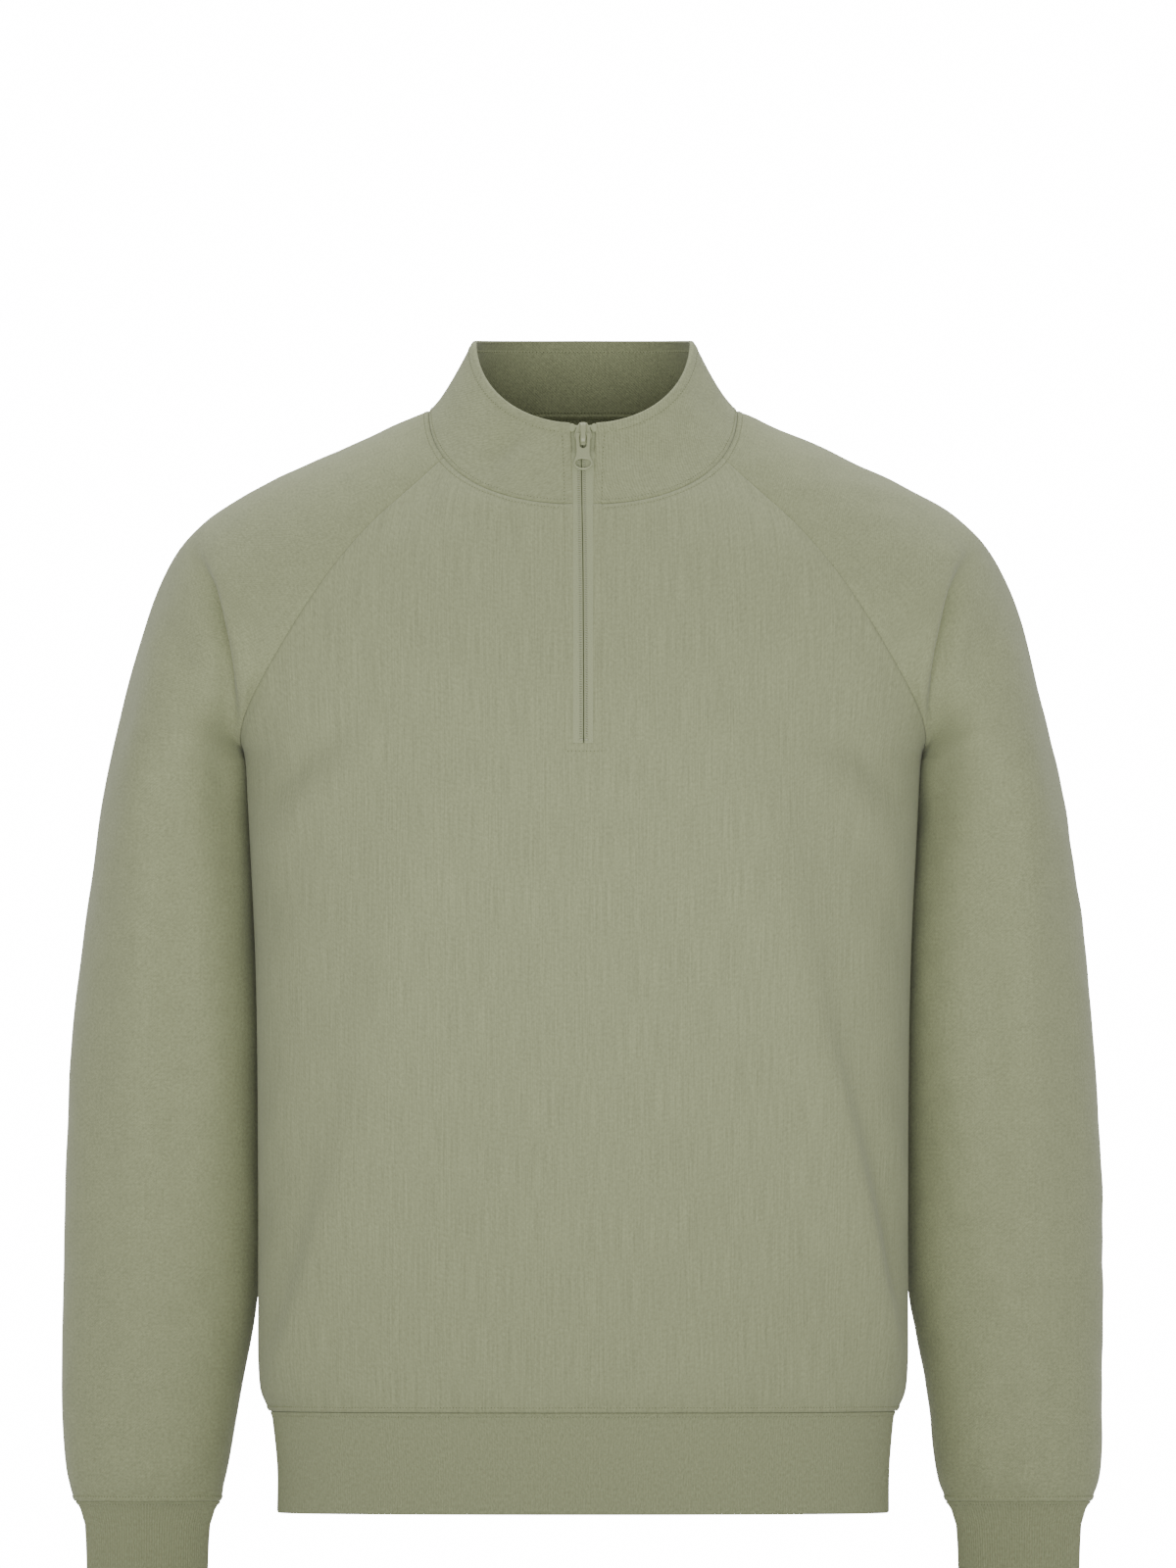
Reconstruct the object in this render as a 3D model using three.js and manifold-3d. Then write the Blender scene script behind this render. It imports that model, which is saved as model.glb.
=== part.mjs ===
// A quarter-zip sweatshirt with raglan sleeves, a stand collar, and a ribbed hem and cuffs.
// It is filled out as if worn, with nobody in it, so every tube of cloth is open and hollow.
// Millimetres: +X is the wearer's left, -Y the front, +Z up. The origin is the middle of the
// neck at the height of the shoulder points.
import * as THREE from 'three';
import Module from 'manifold-3d';
import { mergeVertices } from 'three/addons/utils/BufferGeometryUtils.js';

const wasm = await Module();
wasm.setup();

// ---------------------------------------------------------------- driving sizes
const WALL = 2.0; // sweatshirt cloth
const SEAM = 0.2; // each piece stops this far short of its seam line
const ZIP_HALF = 6.5; // from the middle of the zip to the cloth's folded edge
const ZIP_END = 8.5; // the seam station that the zip opening runs down to

const TAPE_WALL = 0.8;
const TAPE_HALF = 12; // half the width of both tapes together
const TAPE_BACK = 0.5; // from the cloth's inner face to the tape
const TEETH_HALF = 3; // half the width of the closed teeth
const TEETH_RISE = 1.2;
const TAPE_MIDDLE = 0.2; // from the middle line to the edge of the teeth
const POST_ROOM = 1.7; // the same beside the slider's post, above the slider

const RIB_RISE = 0.8;
const HEM_RIBS = 80;
const CUFF_RIBS = 24;

const CLOTH = 0x9b9d86;
const SLEEVE_CLOTH = 0x91937c;
const RIB_CLOTH = 0x94967f;
const TAPE = 0x84866e;
const METAL = 0x8a8c74;

// ---------------------------------------------------------------- tables
// Each row is one section. The first column is its place, and each other column becomes a
// smooth function of it.
function naturalSpline(at, value) {
  const n = at.length;
  const bend = new Array(n).fill(0);
  const upper = new Array(n).fill(0);
  for (let i = 1; i < n - 1; i++) {
    const before = at[i] - at[i - 1];
    const after = at[i + 1] - at[i];
    const rise = (value[i + 1] - value[i]) / after - (value[i] - value[i - 1]) / before;
    const pivot = 2 * (before + after) - before * upper[i - 1];
    upper[i] = after / pivot;
    bend[i] = (6 * rise - before * bend[i - 1]) / pivot;
  }
  for (let i = n - 2; i > 0; i--) bend[i] -= upper[i] * bend[i + 1];
  return (x) => {
    let i = 0;
    while (i < n - 2 && x > at[i + 1]) i++;
    const span = at[i + 1] - at[i];
    const b = (x - at[i]) / span;
    const a = 1 - b;
    const curve = ((a ** 3 - a) * bend[i] + (b ** 3 - b) * bend[i + 1]) * (span * span) / 6;
    return a * value[i] + b * value[i + 1] + curve;
  };
}

function table(names, rows) {
  const at = rows.map((row) => row[0]);
  const made = {};
  names.slice(1).forEach((name, i) => {
    made[name] = naturalSpline(at, rows.map((row) => row[i + 1]));
  });
  return made;
}

// The neck seam and the collar's rim are superellipses seen from above.
const NECK = { half: 101, front: 88, back: 84, power: 2.3 };
const RIM = { half: 71, front: 65, back: 75, power: 2.15 };

// Stations 0 to 9 run down the raglan seams, from the neck to the underarm point. The turn is
// how far round the arm the seam lies from its outermost line, in degrees.
const FRONT_SEAM = table(['station', 'x', 'z', 'turn', 'bulge'], [
  [0, 91, -30.2, 68, 49],
  [1, 113, -50, 68, 66.9],
  [2, 134.5, -69, 70, 80.9],
  [3, 155, -91, 72, 91.5],
  [4, 174, -116, 76, 96],
  [5, 192, -144, 85, 94],
  [6, 207, -170, 100, 88],
  [7, 219, -194, 120, 80.8],
  [8, 223.5, -212, 150, 74],
  [9, 221.8, -222, 180, 70],
]);
const BACK_SEAM = table(['station', 'x', 'z', 'turn', 'bulge'], [
  [0, 72, -3.5, 66, 70],
  [1, 95, -22, 66, 75.5],
  [2, 118, -45, 68, 82.4],
  [3, 142, -72, 70, 86],
  [4, 165, -103, 76, 84],
  [5, 186, -136, 86, 79],
  [6, 203, -168, 102, 76],
  [7, 215, -195, 124, 74],
  [8, 222, -213, 152, 72],
  [9, 221.8, -222, 180, 72],
]);
// The sleeve's outermost line: the shoulder, then the outside of the arm.
const SHOULDER = table(['station', 'x', 'y', 'z'], [
  [0, 101, 0, -1.2],
  [1, 126, 2, -10],
  [2, 159, 3, -25],
  [3, 194, 4, -41],
  [4, 228, 6, -59],
  [5, 257, 8, -81],
  [6, 275, 10, -109],
  [7, 287, 12, -141],
  [8, 296, 15, -173],
  [9, 303.5, 18, -204],
  [10, 312, 22, -243],
  [11, 319, 25, -283],
  [12, 326.5, 28, -340],
  [13, 333.6, 31, -410],
  [14, 337.8, 33, -480],
  [15, 340, 34, -560],
  [16, 340.4, 33, -621],
  [17, 340.2, 32, -659],
  [18, 338.3, 30, -691],
  [19, 332.4, 29, -711.6],
]);
// Below the underarm point the sleeve is a closed tube, sewn along its inner side.
const UNDERARM = table(['station', 'x', 'y', 'z', 'front', 'back'], [
  [9, 221.8, 1.5, -222, 70, 72],
  [9.5, 220, 14, -234, 70, 72],
  [10, 217, 24, -251, 69, 71],
  [11, 214.4, 29, -286, 69, 70],
  [12, 211.6, 32, -341, 67, 68],
  [13, 209.2, 35, -410, 64, 65],
  [14, 208.6, 36, -480, 61, 62],
  [15, 211, 36, -560, 57, 58],
  [16, 220, 34, -621, 52, 53],
  [17, 226.5, 32, -659, 47, 48],
  [18, 231.2, 30, -691, 41, 42],
  [19, 236.8, 29, -711.6, 32, 33],
]);
// The body's sections, from the neck to the hem seam: half widths, the middles of the front and
// back, and where the widest line lies. Above station 9 the raglan seams cut the sections short.
const BODY = table(
  ['station', 'front', 'frontY', 'frontZ', 'back', 'backY', 'backZ', 'backPower', 'side'],
  [
    [0, 101, -88, -60.8, 101, 84, -3.8, 2.3, 0],
    [1, 136, -95, -74, 140, 90, -20, 2.27, 0],
    [2, 175.5, -102.5, -90, 182, 98, -42, 2.24, 0],
    [3, 212, -110, -108, 222, 105, -68, 2.2, 0],
    [4, 237, -117, -128, 247, 111, -98, 2.17, 0],
    [5, 245, -123.5, -150, 254, 115.5, -130, 2.13, 0],
    [6, 241, -128, -172, 248, 119, -162, 2.1, 0],
    [7, 232.5, -131, -193, 238, 121, -190, 2.08, 0],
    [8, 226, -132.8, -210, 228.5, 122, -210, 2.06, 0.8],
    [9, 221.8, -133.8, -222, 221.8, 122.6, -222, 2.05, 1.5],
    [10, 219.8, -134.5, -236, 219.8, 122.9, -236, 2.05, -1],
    [11, 218.8, -134.7, -254, 218.8, 122.9, -254, 2.05, -4],
    [12, 217.5, -134, -281, 217.5, 122.2, -281, 2.05, -7],
    [13, 215.7, -132.5, -315, 215.7, 121.3, -315, 2.05, -8],
    [14, 213.8, -130, -360, 213.8, 120, -360, 2.05, -8],
    [15, 212.6, -125.5, -420, 212.6, 118.2, -420, 2.05, -8],
    [16, 212.1, -121, -490, 212.1, 115.8, -490, 2.05, -7],
    [17, 212, -118.5, -550, 212, 114.5, -550, 2.05, -6],
    [18, 212.2, -117, -600, 212.2, 113.5, -600, 2.05, -5],
    [19, 212, -116.5, -621, 212, 113, -621, 2.05, -5],
    [20, 210.8, -115.5, -636, 210.8, 112.2, -636, 2.05, -4],
    [21, 208.2, -113.5, -645, 208.2, 110.4, -645, 2.05, -4],
    [22, 204.6, -110.3, -652.3, 204.6, 107.6, -652.3, 2.05, -4],
  ],
);
const HEM = table(['drop', 'half', 'front', 'back', 'side'], [
  [652.8, 203.6, -109.6, 107, -4],
  [658, 202.6, -108.8, 106.2, -4],
  [668, 201.6, -108, 105.4, -4],
  [684, 200.2, -107.2, 104.8, -4],
  [719, 199.4, -106.6, 104.4, -4],
]);
const CUFF = table(['drop', 'middle', 'half', 'depth'], [
  [712.1, 284.6, 47, 31.4],
  [716, 284.7, 44.3, 28.6],
  [722, 284.8, 41.6, 26],
  [732, 284.9, 40.2, 24.6],
  [781, 284.9, 39.3, 24],
]);
const CUFF_Y = 29;
const FRONT_POWER = 2.3;
const BACK_POWER = 2.05;

// Stations and drops of the rows of each piece.
const UPPER_ROWS = [0, 0.6, 1.4, 2.2, 3, 3.6, 4.2, 4.8, 5.4, 6.2, 7, 7.8, ZIP_END, 9];
const BODY_ROWS = [10, 11, 12, 13, 14, 15, 16, 17, 18, 19.2, 20.5, 22];
const SLEEVE_ROWS = [9.4, 9.8, 10.5, 11.2, 12, 13, 14, 15, 16, 17, 18, 19];
const HEM_ROWS = [652.8, 666, 719];
const CUFF_ROWS = [712.1, 721, 781];
const COLLAR_ROWS = [0, 0.25, 0.55, 1];
const FRONT_COLUMNS = 10; // on each side of the zip
const BACK_COLUMNS = 14;
const SLEEVE_COLUMNS = 18;
const COLLAR_COLUMNS = 34;

// Folds, as lines seen from the front or back: x, z, height (a trough is negative), then how
// far each fades towards the middle of the garment and away from it.
const BODY_FOLDS = {
  front: [
    [[112, -237, 1.5, 26, 22], [131, -317, 4, 30, 18], [147, -381, 5, 30, 14],
      [163, -448, 5.5, 28, 12], [179, -512, 6, 26, 11], [192, -570, 6, 24, 10],
      [203, -611, 4, 20, 9], [208, -632, 1, 14, 8]],
    [[-113, -256, 1, 26, 24], [-128, -371, 3, 30, 20], [-144, -454, 3.5, 30, 18],
      [-170, -544, 3.5, 26, 15], [-198, -622, 1.5, 20, 10]],
    [[-138, -211, 1, 14, 14], [-168, -243, 2.2, 15, 15], [-198, -275, 1, 14, 12]],
    [[150, -235, 0.5, 14, 14], [176, -262, 1.6, 15, 15], [200, -290, 0.8, 12, 12]],
  ],
  back: [
    [[-120, -250, 1.5, 26, 22], [-140, -350, 3.5, 28, 18], [-160, -460, 4, 26, 15],
      [-180, -560, 4, 24, 12], [-196, -625, 1.5, 18, 10]],
    [[110, -240, 1, 26, 24], [128, -360, 3, 28, 20], [150, -480, 3.5, 26, 16],
      [182, -600, 3, 22, 12]],
    [[-60, -170, 0.5, 20, 20], [-20, -200, 1.6, 22, 22], [40, -190, 0.6, 20, 20]],
  ],
};
// The same for both sleeves, as seen on the wearer's left.
const SLEEVE_FOLDS = {
  front: [
    [[252, -92, -1.5, 12, 16], [244, -106, -3, 13, 18], [237, -126, -5, 13, 20],
      [231, -154, -6.5, 13, 22], [227, -181, -6.5, 13, 22], [224, -204, -4, 12, 18],
      [223, -222, -1, 10, 12]],
    [[266, -147, -1.5, 12, 12], [248, -180, -3.5, 12, 14], [234, -214, -2, 10, 12]],
    [[290, -150, 1, 16, 14], [291, -230, 2.2, 16, 14], [290, -340, 2.4, 18, 15],
      [293, -460, 2.4, 22, 18], [300, -580, 1.4, 24, 20]],
    [[262, -280, -0.8, 14, 14], [262, -370, -2, 15, 15], [266, -470, -1, 16, 16]],
    [[250, -668, 1.2, 16, 10], [286, -690, 2.2, 40, 40], [322, -672, 1.2, 10, 16]],
  ],
  back: [
    [[244, -130, -3, 12, 16], [234, -165, -6, 10, 18], [227, -200, -6, 9, 16]],
    [[292, -190, 1, 16, 14], [286, -320, 2.2, 18, 16], [296, -500, 2, 22, 18]],
    [[256, -420, -1.6, 16, 16], [274, -500, -2, 18, 18], [300, -560, -1, 16, 16]],
  ],
};
const COLLAR_FOLDS = {
  front: [
    [[-38, -14, -1, 10, 10], [-50, -24, -2.6, 11, 11], [-56, -36, -1, 10, 10]],
    [[28, -20, -0.6, 10, 10], [36, -28, -1.6, 11, 11], [44, -38, -0.6, 10, 10]],
  ],
  back: [],
};

// ---------------------------------------------------------------- surfaces
const mix = (a, b, share) => a + (b - a) * share;
const softMin = (a, b, round) => (a + b - Math.hypot(a - b, round)) / 2;
const ease = (share) => {
  const s = Math.min(1, Math.max(0, share));
  return s * s * (3 - 2 * s);
};

function neckHeight(y) {
  return 3 + 0.72 * softMin(y, 0, 12) - 0.06 * Math.max(y, 0);
}

function rimHeight(y) {
  return softMin(47.2, 49.5 + 0.88 * y, 4);
}

/** A ring's point at an angle from the middle of the front. */
function ringPoint(ring, height, angle) {
  const s = Math.sin(angle);
  const c = Math.cos(angle);
  const x = ring.half * Math.sign(s) * Math.abs(s) ** (2 / ring.power);
  const depth = c > 0 ? -ring.front : ring.back;
  const y = depth * Math.abs(c) ** (2 / ring.power);
  return new THREE.Vector3(x, y, height(y));
}

const ringAngle = (ring, x) => Math.asin((x / ring.half) ** (ring.power / 2));

/** How high the folds stand at a point, from the side that faces -Y or +Y. */
function foldHeight(folds, x, z) {
  let height = 0;
  for (const line of folds) {
    let best = { gap: Infinity };
    for (let i = 0; i < line.length - 1; i++) {
      const [x0, z0, h0, in0, out0] = line[i];
      const [x1, z1, h1, in1, out1] = line[i + 1];
      const [dx, dz] = [x1 - x0, z1 - z0];
      const share = ((x - x0) * dx + (z - z0) * dz) / (dx * dx + dz * dz);
      const s = Math.min(1, Math.max(0, share));
      const [px, pz] = [x - mix(x0, x1, s), z - mix(z0, z1, s)];
      const gap = Math.hypot(px, pz);
      if (gap < best.gap) {
        const inside = px * Math.sign(x0 + x1) < 0;
        const fade = inside ? mix(in0, in1, s) : mix(out0, out1, s);
        best = { gap, height: mix(h0, h1, s), fade };
      }
    }
    height += best.height * Math.exp(-((best.gap / best.fade) ** 2));
  }
  return height;
}

/** The front or back panel's section at a row: its half width, power, and middle. */
function section(side, row) {
  const front = side === 'front';
  const middle = BODY.side(row);
  return {
    half: front ? BODY.front(row) : BODY.back(row),
    power: front ? FRONT_POWER : BODY.backPower(row),
    middle,
    deep: (front ? BODY.frontY(row) : BODY.backY(row)) - middle,
    z: front ? BODY.frontZ(row) : BODY.backZ(row),
  };
}

function sectionY({ half, power, middle, deep }, x) {
  const share = Math.min(1, Math.abs(x) / half);
  return middle + deep * (1 - share ** power) ** (1 / power);
}

/** A raglan seam's point, or the side seam's below the underarm. */
function seamEnd(side, row) {
  const cut = section(side, row);
  if (row >= 9) return new THREE.Vector3(cut.half, cut.middle, cut.z);
  const seam = side === 'front' ? FRONT_SEAM : BACK_SEAM;
  const x = Math.min(seam.x(row), cut.half);
  return new THREE.Vector3(x, sectionY(cut, x), seam.z(row));
}

/** The front or back panel's point on a row, at a distance from the middle. */
function panelPoint(side, row, x) {
  const cut = section(side, row);
  const y = sectionY(cut, x);
  if (row >= 9) return new THREE.Vector3(x, y, cut.z);
  const end = seamEnd(side, row);
  const middleY = cut.middle + cut.deep;
  const flat = mix(cut.z, end.z, (y - middleY) / (end.y - middleY));
  return new THREE.Vector3(x, y, mix(flat, neckHeight(y), ease(1 - row / 1.5)));
}

/** The sleeve's point on a row. Turn runs from -1 at the front seam, by 0 outermost, to 1. */
function sleevePoint(row, turn) {
  const back = turn > 0;
  const closed = row >= 9;
  const seam = back ? BACK_SEAM : FRONT_SEAM;
  const full = closed ? Math.PI : THREE.MathUtils.degToRad(seam.turn(row));
  const bulge = closed ? (back ? UNDERARM.back(row) : UNDERARM.front(row)) : seam.bulge(row);
  const sign = back ? 1 : -1;
  const angle = full * Math.abs(turn);
  const share = (1 - Math.cos(angle)) / (1 - Math.cos(full));
  const outer = new THREE.Vector3(SHOULDER.x(row), SHOULDER.y(row), SHOULDER.z(row));
  const inner = closed
    ? new THREE.Vector3(UNDERARM.x(row), UNDERARM.y(row), UNDERARM.z(row))
    : seamEnd(back ? 'back' : 'front', row);
  const short = inner.y - outer.y - sign * bulge * Math.sin(full);
  const point = outer.clone().lerp(inner, share);
  point.y = outer.y + sign * bulge * Math.sin(angle) + short * share;
  return point;
}

/** The same with its top edge brought onto the neck seam. */
function raglanPoint(row, turn) {
  const point = sleevePoint(row, turn);
  const fade = ease(1 - row / 2);
  if (fade > 0) {
    const seam = turn > 0 ? BACK_SEAM : FRONT_SEAM;
    const end = ringAngle(NECK, seam.x(0));
    const from = turn > 0 ? Math.PI - end : end;
    const angle = mix(Math.PI / 2, from, Math.abs(turn));
    const neck = ringPoint(NECK, neckHeight, angle);
    point.add(neck.sub(sleevePoint(0, turn)).multiplyScalar(fade));
  }
  return point;
}

/** The collar from the neck seam at 0 to the rim at 1, its ends a distance from the middle. */
function collarPoint(end, round, up) {
  const along = (ring) => mix(ringAngle(ring, end), 2 * Math.PI - ringAngle(ring, end), round);
  const neck = ringPoint(NECK, neckHeight, along(NECK));
  const rim = ringPoint(RIM, rimHeight, along(RIM));
  const point = neck.clone().lerp(rim, up);
  const hollow = 12.6 * up * (1 - up) ** 2 * ease(Math.abs(point.x) / 60 - 0.15);
  const inward = new THREE.Vector3(-point.x, -point.y, 0).normalize();
  return point.addScaledVector(inward, hollow);
}

// ---------------------------------------------------------------- solids
const triangleNormal = (a, b, c) => b.clone().sub(a).cross(c.clone().sub(a));

function normalsOf(points, quads) {
  const normals = points.map(() => new THREE.Vector3());
  for (const [a, b, c, d] of quads) {
    const face = triangleNormal(points[a], points[b], points[c]);
    face.add(triangleNormal(points[a], points[c], points[d]));
    for (const i of [a, b, c, d]) normals[i].add(face);
  }
  return normals.map((n) => n.normalize());
}

/** A wall behind a skin of quads. The raise lifts only its outer points. */
function shell(points, quads, wall, normals, raise = null) {
  const count = points.length;
  const inner = points.map((p, i) => p.clone().addScaledVector(normals[i], -wall));
  const outer = points.map((p, i) => p.clone().addScaledVector(normals[i], raise ? raise[i] : 0));
  const corners = [...outer, ...inner];
  const edges = new Set();
  for (const quad of quads) quad.forEach((a, i) => edges.add(`${a} ${quad[(i + 1) % 4]}`));
  const faces = [];
  for (const quad of quads) {
    faces.push(quad);
    faces.push([...quad].reverse().map((i) => i + count));
    quad.forEach((a, i) => {
      const b = quad[(i + 1) % 4];
      if (!edges.has(`${b} ${a}`)) faces.push([b, a, a + count, b + count]);
    });
  }
  const index = [];
  for (const [a, b, c, d] of faces) {
    const short = corners[a].distanceTo(corners[c]) <= corners[b].distanceTo(corners[d]);
    if (short) index.push(a, b, c, a, c, d);
    else index.push(b, c, d, b, d, a);
  }
  const used = [...new Set(index)];
  const renumber = new Map(used.map((i, n) => [i, n]));
  const geometry = new THREE.BufferGeometry();
  const numbers = used.flatMap((i) => corners[i].toArray());
  geometry.setAttribute('position', new THREE.Float32BufferAttribute(numbers, 3));
  geometry.setIndex(index.map((i) => renumber.get(i)));
  geometry.computeVertexNormals();
  return geometry;
}

/** A grid of points with its quads. Skip leaves quads out, and weld joins its last column. */
function grid(rows, columns, at, { skip = () => false, weld = () => false } = {}) {
  const points = [];
  for (let i = 0; i < rows; i++) for (let j = 0; j < columns; j++) points.push(at(i, j));
  const number = (i, j) => i * columns + (j === columns - 1 && weld(i) ? 0 : j);
  const quads = [];
  for (let i = 0; i < rows - 1; i++) {
    for (let j = 0; j < columns - 1; j++) {
      if (skip(i, j)) continue;
      quads.push([number(i, j), number(i + 1, j), number(i + 1, j + 1), number(i, j + 1)]);
    }
  }
  return { rows, columns, points, quads, number };
}

/** Draws a border point back from its seam, towards the point beside it. */
function drawBack(made, i, j, nextI, nextJ, gap = SEAM) {
  const point = made.points[made.number(i, j)];
  const next = made.points[made.number(nextI, nextJ)];
  const way = next.clone().sub(point).normalize();
  point.addScaledVector(way, gap);
}

/** Moves the skin out by its folds, along its own normals. */
function fold(made, folds, mirror, fade = () => 1) {
  const normals = normalsOf(made.points, made.quads);
  made.points.forEach((point, i) => {
    const side = normals[i].y < 0 ? folds.front : folds.back;
    const facing = ease(Math.abs(normals[i].y) * 1.6);
    const height = foldHeight(side, point.x * mirror, point.z);
    point.addScaledVector(normals[i], height * facing * fade(point));
  });
}

function mirrored(made) {
  made.points.forEach((point) => { point.x *= -1; });
  made.quads = made.quads.map((quad) => [...quad].reverse());
  return made;
}

const group = new THREE.Group();

function addMesh(name, geometry, color, roughness = 0.95, metalness = 0) {
  const mesh = new THREE.Mesh(geometry, new THREE.MeshStandardMaterial({ color, roughness, metalness }));
  mesh.name = name;
  group.add(mesh);
  return mesh;
}

// ---------------------------------------------------------------- front and back panels
const PANEL_ROWS = [...UPPER_ROWS, ...BODY_ROWS];
const ZIP_ROW = UPPER_ROWS.indexOf(ZIP_END);

/** Distances from the middle of a row's points, evenly spaced round its section. */
function spread(side, row, inner, count) {
  const end = seamEnd(side, row).x;
  const half = end * 1.02;
  const [from, to] = [Math.asin(inner / half), Math.asin(end / half)];
  return Array.from({ length: count }, (_, i) => (
    i === count - 1 ? end : half * Math.sin(mix(from, to, i / (count - 1)))));
}

// Folds die away at the seams, so that pieces still meet there.
const bodyFade = (p) => ease((219 - Math.abs(p.x)) / 22) * ease((p.z + 655) / 26);

function frontPanel() {
  const across = FRONT_COLUMNS + 1;
  const rows = PANEL_ROWS.map((row) => {
    const right = spread('front', row, ZIP_HALF, across);
    return [...right.map((x) => -x).reverse(), ...right];
  });
  const made = grid(rows.length, 2 * across, (i, j) => panelPoint('front', PANEL_ROWS[i], rows[i][j]), {
    skip: (i, j) => j === across - 1 && i < ZIP_ROW,
  });
  fold(made, BODY_FOLDS, 1, bodyFade);
  return made;
}

function backPanel() {
  const rows = PANEL_ROWS.map((row) => {
    const right = spread('back', row, 0, BACK_COLUMNS / 2 + 1);
    return [...right.slice(1).map((x) => -x).reverse(), ...right].reverse();
  });
  const made = grid(rows.length, BACK_COLUMNS + 1, (i, j) => panelPoint('back', PANEL_ROWS[i], rows[i][j]));
  fold(made, BODY_FOLDS, 1, bodyFade);
  return made;
}

// ---------------------------------------------------------------- sleeves
const ARM_ROWS = [...UPPER_ROWS, ...SLEEVE_ROWS];
const UNDERARM_ROW = UPPER_ROWS.length - 1;
const armFade = (p) => ease((p.z + 713) / 20) * ease((p.x - 214) / 14 + 0.1);

function sleeve() {
  const made = grid(ARM_ROWS.length, SLEEVE_COLUMNS + 1, (i, j) => (
    raglanPoint(ARM_ROWS[i], (2 * j) / SLEEVE_COLUMNS - 1)
  ), { weld: (i) => i >= UNDERARM_ROW });
  fold(made, SLEEVE_FOLDS, 1, armFade);
  return made;
}

// ---------------------------------------------------------------- seams between the pieces
const front = frontPanel();
const back = backPanel();
const arm = sleeve();
const lastFront = front.columns - 1;
const lastBack = back.columns - 1;

// Pieces that meet along a raglan seam share its points and the direction of their walls.
for (let i = 0; i < UNDERARM_ROW; i++) {
  const seamFront = arm.points[arm.number(i, 0)];
  const seamBack = arm.points[arm.number(i, SLEEVE_COLUMNS)];
  front.points[front.number(i, lastFront)].copy(seamFront);
  front.points[front.number(i, 0)].copy(seamFront).setX(-seamFront.x);
  back.points[back.number(i, 0)].copy(seamBack);
  back.points[back.number(i, lastBack)].copy(seamBack).setX(-seamBack.x);
}
const frontNormals = normalsOf(front.points, front.quads);
const backNormals = normalsOf(back.points, back.quads);
const armNormals = normalsOf(arm.points, arm.quads);
/** Gives two border points of the wearer's left, and their mirror images, one direction. */
function share(a, i, b, j, mirrorsOfA, mirrorsOfB) {
  const both = a[i].clone().add(b[j]).normalize();
  a[i].copy(both);
  b[j].copy(both);
  for (const n of mirrorsOfA) a[n].copy(both).setX(-both.x);
  for (const n of mirrorsOfB) b[n].copy(both).setX(-both.x);
}
for (let i = 0; i < front.rows; i++) {
  const [frontEnd, frontMirror] = [front.number(i, lastFront), front.number(i, 0)];
  const [backEnd, backMirror] = [back.number(i, 0), back.number(i, lastBack)];
  if (i < UNDERARM_ROW) {
    share(armNormals, arm.number(i, 0), frontNormals, frontEnd, [], [frontMirror]);
    share(armNormals, arm.number(i, SLEEVE_COLUMNS), backNormals, backEnd, [], [backMirror]);
  } else {
    share(frontNormals, frontEnd, backNormals, backEnd, [frontMirror], [backMirror]);
  }
}
for (const [made, last] of [[front, lastFront], [back, lastBack]]) {
  for (let i = 0; i < made.rows; i++) {
    drawBack(made, i, 0, i, 1);
    drawBack(made, i, last, i, last - 1);
  }
  for (let j = 0; j <= last; j++) drawBack(made, 0, j, 1, j);
}
for (let i = 0; i < UNDERARM_ROW; i++) {
  drawBack(arm, i, 0, i, 1);
  drawBack(arm, i, SLEEVE_COLUMNS, i, SLEEVE_COLUMNS - 1);
}
drawBack(arm, UNDERARM_ROW, 0, UNDERARM_ROW + 1, 0, 1.2);
for (let j = 0; j <= SLEEVE_COLUMNS; j++) drawBack(arm, 0, j, 1, j);

addMesh('front_panel', shell(front.points, front.quads, WALL, frontNormals), CLOTH);
addMesh('back_panel', shell(back.points, back.quads, WALL, backNormals), CLOTH);
addMesh('sleeve_left', shell(arm.points, arm.quads, WALL, armNormals), SLEEVE_CLOTH);
const otherArm = mirrored(arm);
armNormals.forEach((normal) => { normal.x *= -1; });
addMesh('sleeve_right', shell(otherArm.points, otherArm.quads, WALL, armNormals), SLEEVE_CLOTH);

// ---------------------------------------------------------------- collar
const collar = grid(COLLAR_ROWS.length, COLLAR_COLUMNS + 1, (i, j) => (
  collarPoint(ZIP_HALF, j / COLLAR_COLUMNS, COLLAR_ROWS[COLLAR_ROWS.length - 1 - i])));
collar.quads = collar.quads.map((quad) => [...quad]);
fold(collar, COLLAR_FOLDS, 1);
for (let j = 0; j <= COLLAR_COLUMNS; j++) {
  const last = collar.rows - 1;
  drawBack(collar, last, j, last - 1, j, 2 * SEAM);
}
const collarNormals = normalsOf(collar.points, collar.quads);
addMesh('collar', shell(collar.points, collar.quads, WALL, collarNormals), CLOTH);

// ---------------------------------------------------------------- ribbed hem and cuffs
/** A ribbed tube. The ribs fade out over its last rows, and its inside stays plain. */
function ribbed(rows, ribs, at) {
  const columns = 2 * ribs;
  const made = grid(rows.length, columns + 1, (i, j) => at(rows[i], (2 * Math.PI * j) / columns), {
    weld: () => true,
  });
  const normals = normalsOf(made.points, made.quads);
  const raise = made.points.map((_, n) => (n % (columns + 1)) % 2 * RIB_RISE);
  return shell(made.points, made.quads, WALL - RIB_RISE / 2, normals, raise);
}

function hemPoint(drop, angle) {
  const [s, c] = [Math.sin(angle), Math.cos(angle)];
  const power = c > 0 ? FRONT_POWER : BACK_POWER;
  const middle = HEM.side(drop);
  const deep = (c > 0 ? HEM.front(drop) : HEM.back(drop)) - middle;
  const x = HEM.half(drop) * Math.sign(s) * Math.abs(s) ** (2 / power);
  return new THREE.Vector3(x, middle + deep * Math.abs(c) ** (2 / power), -drop);
}

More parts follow.
